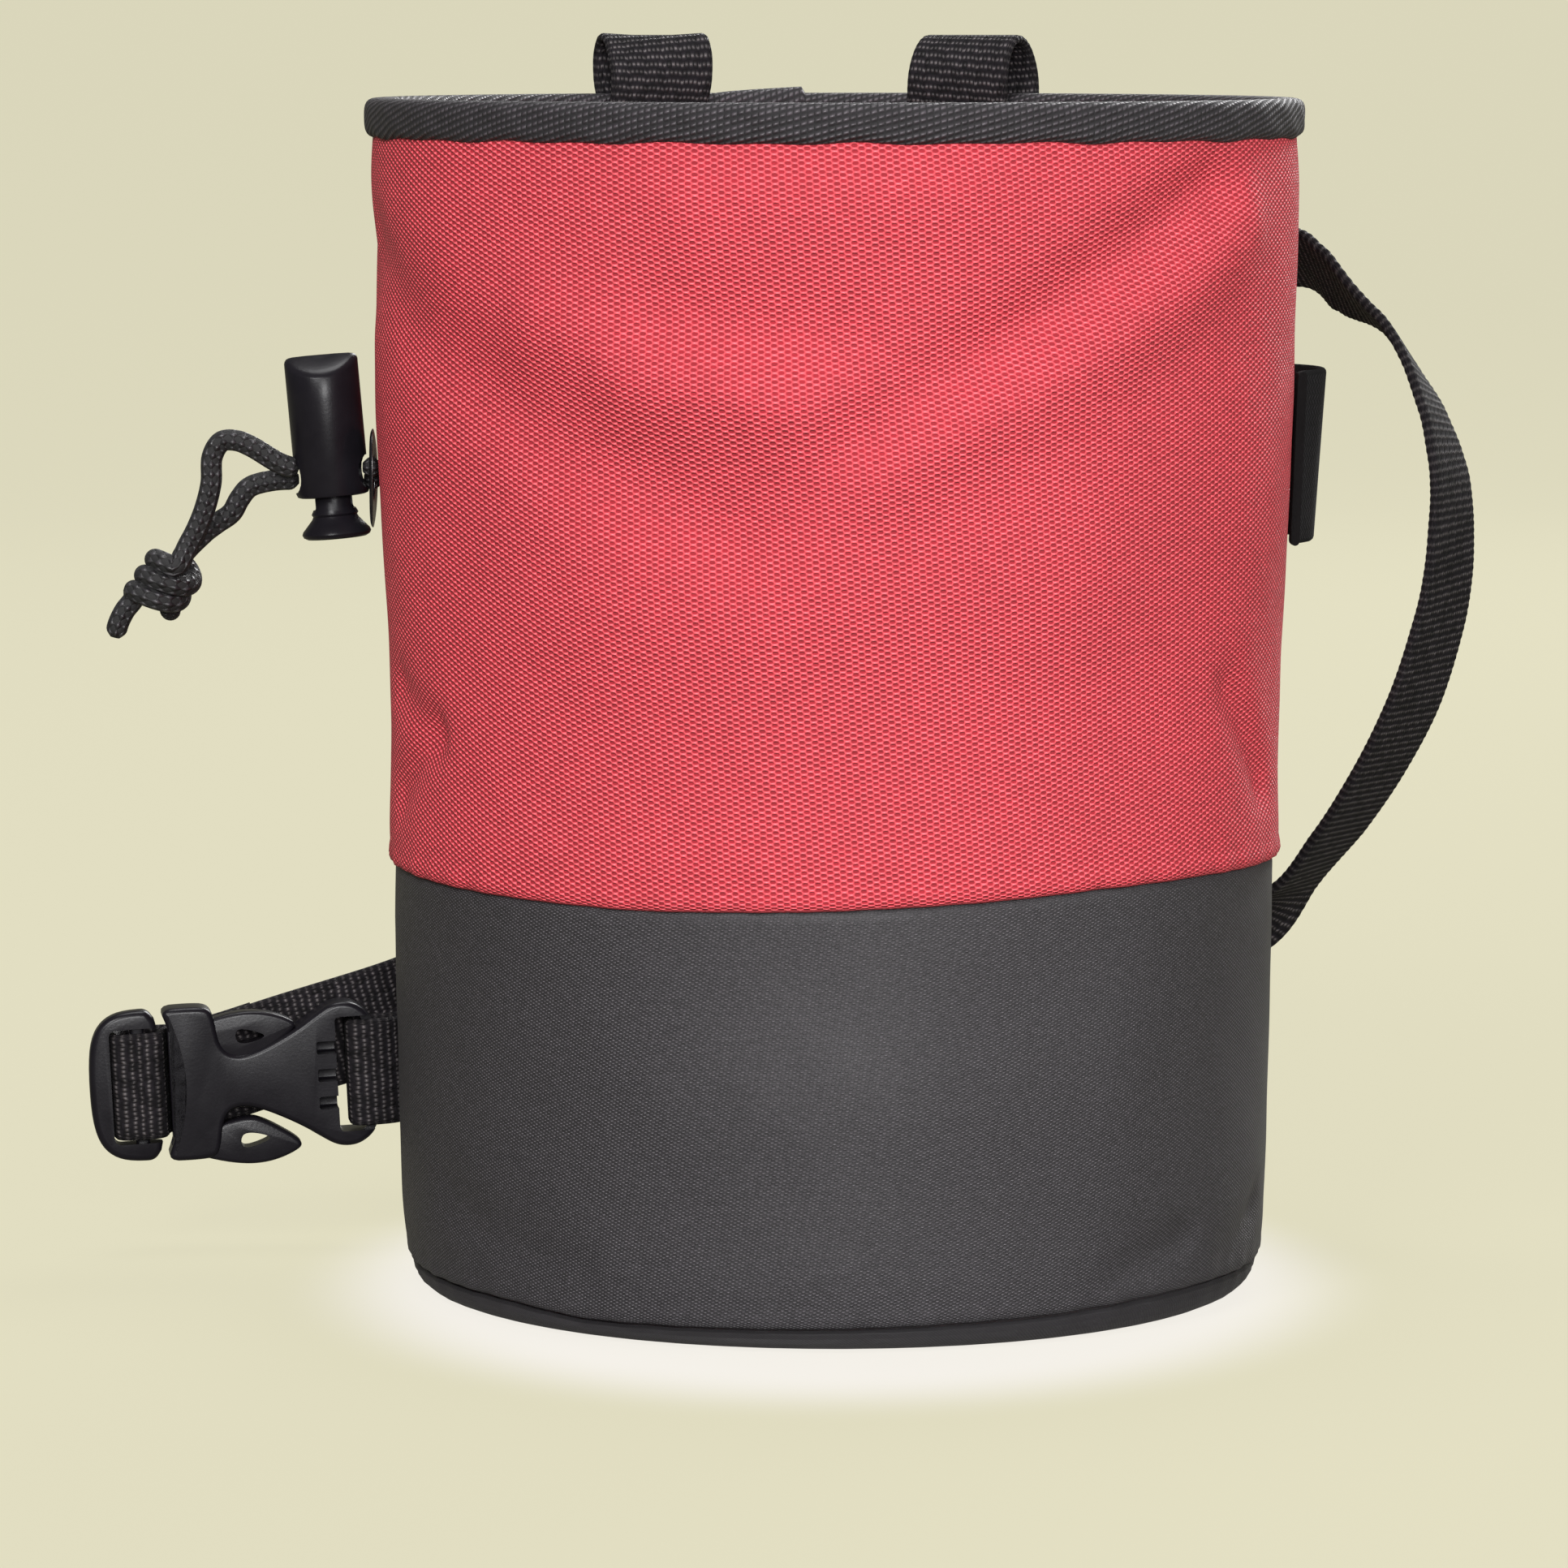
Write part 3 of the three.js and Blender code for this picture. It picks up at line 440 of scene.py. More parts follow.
class Shading:
    """A node tree with short ways to add nodes, values and links."""

    def __init__(self, tree: bpy.types.NodeTree) -> None:
        """Takes the tree to add to.

        Args:
            tree: A material's or a group's node tree.
        """
        self.tree = tree

    def add(self, kind: str, inputs: dict[str | int, object] | None = None, **settings: object) -> bpy.types.Node:
        """Adds a node.

        Args:
            kind: The node's type, without its ShaderNode prefix.
            inputs: Values or sockets by input name or number.
            settings: The node's own settings.

        Returns:
            The node.
        """
        node = self.tree.nodes.new("ShaderNode" + kind)
        for name, value in settings.items():
            setattr(node, name, value)
        for name, value in (inputs or {}).items():
            self.feed(node.inputs[name], value)
        return node

    def feed(self, socket: bpy.types.NodeSocket, value: object) -> None:
        """Gives a socket a value or a link.

        Args:
            socket: The input.
            value: A value, or the output that feeds it.
        """
        if isinstance(value, bpy.types.NodeSocket):
            self.tree.links.new(value, socket)
        else:
            socket.default_value = value

    def math(self, operation: str, *terms: object) -> bpy.types.NodeSocket:
        """A math node's result."""
        node = self.add("Math", dict(enumerate(terms)), operation=operation)
        return node.outputs[0]

    def total(self, *terms: object) -> bpy.types.NodeSocket:
        """The sum of several terms.

        Args:
            terms: Numbers or sockets.

        Returns:
            The sum.
        """
        result = terms[0]
        for term in terms[1:]:
            result = self.math("ADD", result, term)
        return result

    def blend(self, share: object, low: object, high: object) -> bpy.types.NodeSocket:
        """A number between two others."""
        node = self.add("Mix", {0: share, 2: low, 3: high}, data_type="FLOAT")
        return node.outputs[0]

    def tint(self, share: object, low: object, high: object, kind: str = "MIX") -> bpy.types.NodeSocket:
        """A colour between two others.

        Args:
            share: Share of the second colour.
            low: The first colour.
            high: The second colour.
            kind: How the two are mixed.

        Returns:
            The colour.
        """
        colours = [(*c, 1.0) if isinstance(c, tuple) and len(c) == 3 else c for c in (low, high)]
        node = self.add("Mix", {0: share, 6: colours[0], 7: colours[1]}, data_type="RGBA", blend_type=kind)
        return node.outputs[2]

    def group(self, tree: bpy.types.NodeTree, values: dict[str, object]) -> dict[str, bpy.types.NodeSocket]:
        """Places a group with its own values and gives its outputs by name.

        Args:
            tree: The group.
            values: Its inputs by name.

        Returns:
            Its outputs by name.
        """
        node = self.tree.nodes.new("ShaderNodeGroup")
        node.node_tree = tree
        for name, value in values.items():
            self.feed(node.inputs[name], value)
        return {socket.name: socket for socket in node.outputs}

    def noise(self, place: object, scale: float, detail: float = 2.0) -> bpy.types.NodeSocket:
        """Soft noise from 0 to 1."""
        node = self.add("TexNoise", {"Vector": place, "Scale": scale, "Detail": detail, "Roughness": 0.55})
        return node.outputs[0]


def new_group(name: str, inputs: Sequence[tuple[str, str]], outputs: Sequence[str]) -> tuple[
        Shading, bpy.types.Node, bpy.types.Node]:
    """A new shader group with its sockets.

    Args:
        name: Name of the group.
        inputs: Name and kind of each input.
        outputs: Name of each output, all numbers.

    Returns:
        The group's tree, its input node and its output node.
    """
    tree = bpy.data.node_groups.new(name, "ShaderNodeTree")
    for socket, kind in inputs:
        tree.interface.new_socket(socket, in_out="INPUT", socket_type="NodeSocket" + kind)
    for socket in outputs:
        tree.interface.new_socket(socket, in_out="OUTPUT", socket_type="NodeSocketFloat")
    return Shading(tree), tree.nodes.new("NodeGroupInput"), tree.nodes.new("NodeGroupOutput")


class Threads:
    """The shared group of threads that cross over and under, from a UV place in metres."""

    NAME = "crossing_threads"

    @staticmethod
    def group() -> bpy.types.NodeTree:
        """The group, made the first time it is asked for."""
        if Threads.NAME in bpy.data.node_groups:
            return bpy.data.node_groups[Threads.NAME]
        numbers = ("Across", "Along", "Lean", "Cross", "Chevron", "Fill", "Blunt", "Wander")
        inputs = [("Place", "Vector"), *((name, "Float") for name in numbers)]
        s, given, result = new_group(Threads.NAME, inputs, ("Height", "Tone"))
        g = given.outputs
        place = s.add("SeparateXYZ", {0: g["Place"]}).outputs
        drift = [s.math("MULTIPLY", g["Wander"], s.math("SUBTRACT", s.noise(g["Place"], scale, 1.0), 0.5))
                 for scale in (310.0, 470.0)]
        u0, v0 = s.math("DIVIDE", place[0], g["Across"]), s.math("DIVIDE", place[1], g["Along"])
        wave = s.math("ABSOLUTE", s.math("SUBTRACT", s.math("FRACT", s.math("MULTIPLY", u0, 0.5)), 0.5))
        u = s.total(u0, s.math("MULTIPLY", g["Lean"], v0), drift[0])
        v = s.total(v0, s.math("MULTIPLY", g["Cross"], u0), s.math("MULTIPLY", g["Chevron"], wave), drift[1])
        su, sv = (s.math("SINE", s.math("MULTIPLY", part, math.pi)) for part in (u, v))
        lifted = s.math("ADD", s.math("MULTIPLY", su, sv), g["Fill"])
        share = s.math("DIVIDE", lifted, s.math("ADD", g["Fill"], 1.0))
        height = s.math("POWER", s.math("MAXIMUM", share, 0.0), g["Blunt"])
        cell = s.add("CombineXYZ", {0: s.math("FLOOR", u), 1: s.math("FLOOR", v)}).outputs[0]
        tone = s.add("TexWhiteNoise", {"Vector": cell}, noise_dimensions="2D").outputs[0]
        s.feed(result.inputs["Height"], height)
        s.feed(result.inputs["Tone"], tone)
        return s.tree


class Floats:
    """The shared group of rows of short threads that float on a tape, each row shifted from the last."""

    NAME = "floating_threads"

    @staticmethod
    def group() -> bpy.types.NodeTree:
        """The group, made the first time it is asked for."""
        if Floats.NAME in bpy.data.node_groups:
            return bpy.data.node_groups[Floats.NAME]
        numbers = ("Across", "Along", "Slant", "Shift", "Block", "Thin", "Wander")
        inputs = [("Place", "Vector"), *((name, "Float") for name in numbers)]
        s, given, result = new_group(Floats.NAME, inputs, ("Height", "Tone", "Gap"))
        g = given.outputs
        place = s.add("SeparateXYZ", {0: g["Place"]}).outputs
        drift = s.math("MULTIPLY", g["Wander"], s.math("SUBTRACT", s.noise(g["Place"], 900.0, 2.0), 0.5))
        edge = s.math("ABSOLUTE", s.math("SINE", s.math("MULTIPLY", s.math("DIVIDE", place[0], g["Block"]), math.pi)))
        gap = s.math("POWER", s.math("SUBTRACT", 1.0, edge), 3.0)
        u0 = s.math("DIVIDE", place[0], g["Across"])
        v = s.total(s.math("DIVIDE", place[1], g["Along"]), s.math("MULTIPLY", u0, g["Slant"]), drift,
                    s.math("MULTIPLY", gap, 0.14))
        row = s.math("FLOOR", v)
        u = s.total(u0, s.math("MULTIPLY", row, g["Shift"]), drift)
        su, sv = (s.math("ABSOLUTE", s.math("SINE", s.math("MULTIPLY", part, math.pi))) for part in (u, v))
        height = s.math("MULTIPLY", s.math("POWER", su, 0.6), s.math("POWER", sv, g["Thin"]))
        cell = s.add("CombineXYZ", {0: s.math("FLOOR", u), 1: row}).outputs[0]
        tone = s.add("TexWhiteNoise", {"Vector": cell}, noise_dimensions="2D").outputs[0]
        for name, value in (("Height", height), ("Tone", tone), ("Gap", gap)):
            s.feed(result.inputs[name], value)
        return s.tree


class Mottle:
    """The shared group of broad soft variation, such as handling and dye, on any finish."""

    NAME = "broad_mottle"

    @staticmethod
    def group() -> bpy.types.NodeTree:
        """The group, made the first time it is asked for."""
        if Mottle.NAME in bpy.data.node_groups:
            return bpy.data.node_groups[Mottle.NAME]
        inputs = (("Place", "Vector"), ("Scale", "Float"), ("Low", "Float"), ("High", "Float"))
        s, given, result = new_group(Mottle.NAME, inputs, ("Value",))
        g = given.outputs
        soft = s.add("TexNoise", {"Vector": g["Place"], "Scale": g["Scale"], "Detail": 3.0}).outputs[0]
        s.feed(result.inputs["Value"], s.blend(soft, g["Low"], g["High"]))
        return s.tree


@dataclass(frozen=True)
class Cloth:
    """A finish of many threads that follows the piece's UV map.

    Attributes:
        slot: Its material slot.
        deep: Colour between the threads: the cloth's own colour darkened as painted shade.
        lit: Colour on top of the threads: the cloth's own colour lightened as a painted highlight.
        threads: Values of the group that draws the threads, by input name.
        floats: True for rows of floating threads, False for threads that cross.
        glint: How narrowly the lit colour, a painted highlight, keeps to the tops of the threads.
        relief: Height of the threads in millimetres.
        rough: Roughness between and on top of the threads.
        sheen: Strength of the soft edge glow.
        specular: Strength of the gloss.
        tone: Spread of the threads' lightness.
        mottle: Lowest and highest broad lightness.
        coat: Strength of a clear coating.
    """

    slot: Slot
    deep: Colour
    lit: Colour
    threads: tuple[tuple[str, float], ...]
    floats: bool = False
    glint: float = 1.0
    relief: float = 0.16
    rough: tuple[float, float] = (0.95, 0.7)
    sheen: float = 0.1
    specular: float = 0.3
    tone: float = 0.25
    mottle: tuple[float, float] = (0.9, 1.08)
    coat: float = 0.0

    def make(self) -> bpy.types.Material:
        """Builds the material, or returns the one made before."""
        name = self.slot.value + "_cloth"
        if name in bpy.data.materials:
            return bpy.data.materials[name]
        material = bpy.data.materials.new(name)
        material.use_nodes = True
        s = Shading(material.node_tree)
        shader = material.node_tree.nodes["Principled BSDF"]
        uv = s.add("TexCoord").outputs["UV"]
        drawn = s.group(Floats.group() if self.floats else Threads.group(), {"Place": uv, **dict(self.threads)})
        height, tone = drawn["Height"], drawn["Tone"]
        broad = s.group(Mottle.group(), {"Place": uv, "Scale": 38.0, "Low": self.mottle[0], "High": self.mottle[1]})
        # Painted light: the lit colour on the thread tops is a painted highlight and the deep colour between them is
        # painted shade.
        colour = s.tint(s.math("POWER", height, self.glint), self.deep, self.lit)
        bright = s.math("MULTIPLY", broad["Value"], s.blend(tone, 1 - self.tone / 2, 1 + self.tone / 2))
        grey = s.add("CombineColor", {0: bright, 1: bright, 2: bright}).outputs[0]
        s.feed(shader.inputs["Base Color"], s.tint(1.0, colour, grey, "MULTIPLY"))
        s.feed(shader.inputs["Roughness"], s.blend(height, *self.rough))
        fuzz = s.math("MULTIPLY", s.noise(uv, 9000.0, 2.0), 0.1)
        raised = s.math("ADD", height, fuzz)
        if self.floats:
            raised = s.math("SUBTRACT", raised, s.math("MULTIPLY", drawn["Gap"], 0.5))
        bump = s.add("Bump", {"Height": raised, "Distance": self.relief * MM, "Strength": 1.0})
        s.feed(shader.inputs["Normal"], bump.outputs[0])
        shader.inputs["Sheen Weight"].default_value = self.sheen
        shader.inputs["Sheen Roughness"].default_value = 0.45
        shader.inputs["Specular IOR Level"].default_value = self.specular
        shader.inputs["Coat Weight"].default_value = self.coat
        shader.inputs["Coat Roughness"].default_value = 0.35
        return material


@dataclass(frozen=True)
class Moulded:
    """A moulded plastic finish that reads the piece's own place.

    Attributes:
        slot: Its material slot.
        colour: Its colour.
        rough: Lowest and highest roughness.
        grain: Height of the fine mould grain in millimetres.
        specular: Strength of the gloss.
        coat: Strength of the clear top gloss.
    """

    slot: Slot
    colour: Colour
    rough: tuple[float, float]
    grain: float
    specular: float = 0.5
    coat: float = 0.0

    def make(self) -> bpy.types.Material:
        """Builds the material, or returns the one made before."""
        name = self.slot.value + "_moulded"
        if name in bpy.data.materials:
            return bpy.data.materials[name]
        material = bpy.data.materials.new(name)
        material.use_nodes = True
        s = Shading(material.node_tree)
        shader = material.node_tree.nodes["Principled BSDF"]
        place = s.add("TexCoord").outputs["Object"]
        handled = s.group(Mottle.group(), {"Place": place, "Scale": 260.0, "Low": 0.0, "High": 1.0})["Value"]
        lighter = tuple(1.6 * part + 0.002 for part in self.colour)
        s.feed(shader.inputs["Base Color"], s.tint(handled, self.colour, lighter))
        s.feed(shader.inputs["Roughness"], s.blend(handled, *self.rough))
        grain = s.add("Bump", {"Height": s.noise(place, 2600.0, 3.0), "Distance": self.grain * MM, "Strength": 1.0})
        s.feed(shader.inputs["Normal"], grain.outputs[0])
        shader.inputs["Specular IOR Level"].default_value = self.specular
        shader.inputs["Coat Weight"].default_value = self.coat
        shader.inputs["Coat Roughness"].default_value = 0.08
        return material


def crossing(across: float, along: float, fill: float, blunt: float, lean: float = 0.0, cross: float = 0.0,
             chevron: float = 0.0, wander: float = 0.2) -> tuple[tuple[str, float], ...]:
    """Values of the crossing threads, with their pitches in millimetres."""
    return (("Across", across * MM), ("Along", along * MM), ("Fill", fill), ("Blunt", blunt), ("Lean", lean),
            ("Cross", cross), ("Chevron", chevron), ("Wander", wander))


def floating(across: float, along: float, slant: float, shift: float, block: float, thin: float,
             wander: float = 0.12) -> tuple[tuple[str, float], ...]:
    """Values of the floating threads, with their pitches in millimetres."""
    return (("Across", across * MM), ("Along", along * MM), ("Slant", slant), ("Shift", shift), ("Block", block * MM),
            ("Thin", thin), ("Wander", wander))


# Each cloth's two colours are its deep colour, painted shade between the threads, and its lit colour, a painted
# highlight on their tops.
RED = Cloth(Slot.RED, (0.24, 0.006, 0.014), (0.93, 0.12, 0.15), crossing(0.86, 0.55, 0.4, 0.9, lean=0.03),
            relief=0.36, rough=(0.85, 0.38), sheen=0.0, specular=0.36, tone=0.26)
CHARCOAL = Cloth(Slot.CHARCOAL, (0.016, 0.0145, 0.0165), (0.09, 0.082, 0.09),
                 crossing(0.5, 0.34, 0.12, 1.1, lean=-0.08), glint=1.6, relief=0.14, rough=(0.6, 0.34), sheen=0.0,
                 specular=0.32, tone=0.5, coat=0.04)
TAPE = Cloth(Slot.TAPE, (0.003, 0.002, 0.003), (0.042, 0.035, 0.041), floating(0.86, 0.88, -0.267, 0.0, 400.0, 2.2),
             floats=True, glint=1.4, relief=0.24, rough=(0.85, 0.42), sheen=0.0, specular=0.4, tone=0.6)
WEBBING = Cloth(Slot.WEBBING, (0.004, 0.0032, 0.0042), (0.06, 0.053, 0.054),
                floating(0.43, 1.08, 0.0, 0.5, 1.75, 3.0), floats=True, glint=2.0, relief=0.24, rough=(0.9, 0.42),
                sheen=0.0, specular=0.14, tone=1.1)
ELASTIC = Cloth(Slot.ELASTIC, (0.002, 0.0017, 0.002), (0.014, 0.0125, 0.014),
                crossing(0.45, 0.37, 0.3, 0.8, chevron=2.4), relief=0.25, rough=(0.95, 0.8),
                sheen=0.0, specular=0.2, tone=0.4)
CORD = Cloth(Slot.CORD, (0.002, 0.0017, 0.002), (0.022, 0.02, 0.023),
             crossing(1.16, 1.3, 0.1, 0.7, lean=1.0, cross=-1.0, wander=0.12), glint=1.3, relief=0.4,
             rough=(0.8, 0.35), sheen=0.0, specular=0.45, tone=0.9)
PLASTIC = Moulded(Slot.PLASTIC, (0.0035, 0.003, 0.0042), (0.24, 0.36), 0.012, 0.12)
GLOSS = Moulded(Slot.GLOSS, (0.003, 0.0028, 0.0034), (0.2, 0.3), 0.003, 0.5)


def dress(piece: bpy.types.Object, finish: Cloth | Moulded, *nodes: str, body: str = BAG) -> bpy.types.Object:
    """Names a finished piece after its slot, gives it its material and its body, and hides the CAD nodes it stands
    for.

    Args:
        piece: The piece.
        finish: Its finish.
        nodes: The CAD nodes that it stands for.
        body: The body that it rides on.

    Returns:
        The piece.
    """
    piece.name = f"{piece.name.split('.')[0]}_{finish.slot.value}"
    piece.data.materials.clear()
    piece.data.materials.append(finish.make())
    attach(piece, body)
    if nodes:
        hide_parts(*nodes)
    log.info("%s: %d faces", piece.name, len(piece.data.polygons))
    return piece


class Outline:
    """The bag's radius at each height, smoothed between measured rows."""

    def __init__(self, rows: Sequence[tuple[float, float]]) -> None:
        """Takes the rows.

        Args:
            rows: Height and radius, as shares of the bag's own.
        """
        up, out = np.array(rows).T
        self.heights = np.arange(-12, 172.1, 0.5)
        kernel = np.exp(-((np.arange(-12, 13) / 6.0) ** 2))
        rough = np.pad(np.interp(self.heights, up * BODY_H, out * BODY_R), 12, mode="edge")
        self.radii = np.convolve(rough, kernel / kernel.sum(), mode="valid")

    def __call__(self, z: np.ndarray | float) -> np.ndarray:
        """The radius at a height."""
        return np.interp(z, self.heights, self.radii)


@dataclass(frozen=True)
class Fold:
    """A soft ridge or trough along a line on the wall.

    Attributes:
        turns: Turns of the line's points.
        ups: Their heights, as shares of the bag's height.
        wide: Width, as a share of the bag's radius.
        push: Height of the ridge, negative for a trough, as a share of the bag's radius.
    """

    turns: tuple[float, ...]
    ups: tuple[float, ...]
    wide: float
    push: float

    def at(self, turn: np.ndarray, z: np.ndarray) -> np.ndarray:
        """How far the fold pushes the wall outwards at some places.

        Args:
            turn: Turns of the places.
            z: Their heights.

        Returns:
            The push in millimetres.
        """
        unit = math.radians(1) * BODY_R
        nearest = np.full(turn.shape, 1e9)
        for i in range(len(self.turns) - 1):
            ax, az = self.turns[i] * unit, self.ups[i] * BODY_H
            bx, bz = self.turns[i + 1] * unit, self.ups[i + 1] * BODY_H
            px = ((turn - self.turns[i] + 180) % 360 - 180) * unit
            pz = z - az
            run = ((px * (bx - ax) + pz * (bz - az)) / ((bx - ax) ** 2 + (bz - az) ** 2)).clip(0, 1)
            nearest = np.minimum(nearest, np.hypot(px - run * (bx - ax), pz - run * (bz - az)))
        return FOLD_GAIN * self.push * BODY_R * np.exp(-((nearest / (self.wide * BODY_R)) ** 2))


def by_turn(rows: Sequence[tuple[float, float]]) -> Callable[[np.ndarray], np.ndarray]:
    """A height that follows the turn round the bag."""
    turns, heights = np.array(rows).T
    return lambda turn: np.interp(turn, turns, heights, period=360)


COLOUR_SEAM = by_turn([(-82, 58.4), (-63, 58.1), (-45, 57.8), (-25, 57.5), (-3, 58.0), (17, 58.8), (35, 59.7),
                       (53, 59.9), (90, 59.2), (140, 58.2), (180, 58.6), (-135, 58.0)])
BASE_SEAM = by_turn([(-90, 4.2), (-49, 3.6), (-34, 2.6), (-3, 3.0), (30, 3.7), (46, 4.4), (59, 4.6), (90, 4.2),
                     (135, 3.5), (180, 3.8), (-135, 3.4)])
LOWER_OUTLINE = Outline([(0.0215, 0.922), (0.035, 0.933), (0.057, 0.941), (0.127, 0.947), (0.196, 0.949),
                         (0.278, 0.952), (0.367, 0.954)])
UPPER_OUTLINE = Outline([(0.367, 0.961), (0.389, 0.968), (0.43, 0.963), (0.481, 0.963), (0.551, 0.967),
                         (0.639, 0.98), (0.696, 0.987), (0.759, 0.994), (0.829, 0.995), (0.911, 1.0),
                         (0.949, 1.001), (0.975, 0.997), (1, 0.992)])
UPPER_FOLDS = (
    Fold((52, 4), (0.955, 0.757), 0.085, -0.028),
    Fold((60, 6), (0.915, 0.727), 0.09, 0.018),
    Fold((-80, -12), (0.89, 0.675), 0.11, -0.019),
    Fold((-38, -4), (0.84, 0.772), 0.1, 0.016),
    Fold((-24, 12), (0.787, 0.78), 0.09, 0.012),
    Fold((-20, 0), (0.845, 0.832), 0.1, -0.014),
    Fold((-16, 14), (0.94, 0.945), 0.12, 0.012),
    Fold((-74, -62), (0.525, 0.49), 0.055, -0.014),
    Fold((-62, -74), (0.49, 0.435), 0.055, -0.013),
    Fold((60, 72), (0.53, 0.445), 0.055, -0.016),
    Fold((-92, -88), (0.93, 0.86), 0.07, -0.008),
    Fold((118, 160), (0.6, 0.5), 0.12, -0.018),
    Fold((-155, -120), (0.47, 0.62), 0.12, -0.016),
    Fold((-30, 30), (0.6, 0.63), 0.16, 0.01),
)
LOWER_FOLDS = (
    Fold((74, 64), (0.08, 0.045), 0.05, -0.012),
    Fold((40, 52), (0.05, 0.07), 0.05, -0.013),
    Fold((-60, -35), (0.1, 0.05), 0.07, -0.008),
    Fold((-20, 35), (0.2, 0.22), 0.16, 0.008),
    Fold((110, 160), (0.25, 0.1), 0.12, -0.012),
)


def wobble(turn: np.ndarray, z: np.ndarray) -> np.ndarray:
    """The small unevenness of sewn cloth, in millimetres outwards.

    Args:
        turn: Turns of the places.
        z: Their heights.

    Returns:
        The shift outwards.
    """
    angle = np.radians(turn)
    slow = np.sin(7 * angle + 0.045 * z) * np.sin(0.07 * z + 1.3) + np.sin(11 * angle - 0.06 * z + 2)
    quick = np.sin(23 * angle + 0.19 * z) * np.sin(0.23 * z + 3 * angle)
    return 0.11 * slow + 0.05 * quick


def pucker(turn: np.ndarray, away: np.ndarray) -> np.ndarray:
    """The tight little waves beside a sewn seam, in millimetres outwards.

    Args:
        turn: Turns of the places.
        away: Their distances from the seam.

    Returns:
        The shift outwards.
    """
    angle = np.radians(turn)
    wave = np.sin(58 * angle + 2 * np.sin(5 * angle)) + 0.6 * np.sin(37 * angle + 1.4)
    return 0.13 * wave * np.exp(-np.abs(away) / 2.4)


@dataclass(frozen=True)
class Wall:
    """One woven band of the bag's side, with its turned edges.

    Attributes:
        name: Name of the piece.
        finish: Its finish.
        outline: Its radius by height.
        folds: Its folds.
        low: Its lower edge by turn.
        high: Its upper edge by turn.
        lower_edge: Lift and inset of the rows of its lower edge, from inside to outside.
        upper_edge: Lift and inset of the rows of its upper edge, from outside to inside.
        rows: Rows of the outer face.
    """

    name: str
    finish: Cloth
    outline: Outline
    folds: tuple[Fold, ...]
    low: Callable[[np.ndarray], np.ndarray]
    high: Callable[[np.ndarray], np.ndarray]
    lower_edge: tuple[tuple[float, float], ...]
    upper_edge: tuple[tuple[float, float], ...]
    rows: int

    def table(self) -> np.ndarray:
        """Share of the height, lift and outward shift of each row, once round the band."""
        face = np.linspace(0, 1, self.rows)[1:-1]
        outer = [(share, (1 - share) * self.lower_edge[-1][0] + share * self.upper_edge[0][0], 0.0) for share in face]
        inner = [(share, 0.0, -WALL) for share in face[::-3]]
        low = [(0.0, lift, out) for lift, out in self.lower_edge]
        high = [(1.0, lift, out) for lift, out in self.upper_edge]
        return np.array([*low, *outer, *high, *inner, low[0]])

    def build(self) -> bpy.types.Object:
        """The band's mesh."""
        table = self.table()
        ticks = np.linspace(0, 1, len(table))

        def place(u: np.ndarray, v: np.ndarray) -> np.ndarray:
            """Points of the band's skin."""
            turn = 360 * u - 180
            share, lift, out = (np.interp(v, ticks, table[:, i]) for i in range(3))
            low, high = self.low(turn), self.high(turn)
            z = low + share * (high - low) + lift
            fade = (np.minimum(z - low, high - z) / (0.05 * BODY_H)).clip(0, 1)
            push = fade * sum(fold.at(turn, z) for fold in self.folds)
            shape = self.outline(z) + out + push + wobble(turn, z) * fade + pucker(turn, z - low)
            return on_round(turn, shape, z)

        band = sheet(self.name, (360, len(table) - 1), place, (2 * math.pi * BODY_R, float(self.run(table))))
        Bench.smooth(band, 60)
        return dress(band, self.finish, self.name)

    def run(self, table: np.ndarray) -> float:
        """Length of cloth once round the band's section at the front.

        Args:
            table: The band's rows.

        Returns:
            The length.
        """
        front = np.zeros(1)
        z = self.low(front) + table[:, 0] * (self.high(front) - self.low(front)) + table[:, 1]
        return np.hypot(np.diff(z), np.diff(table[:, 2])).sum()


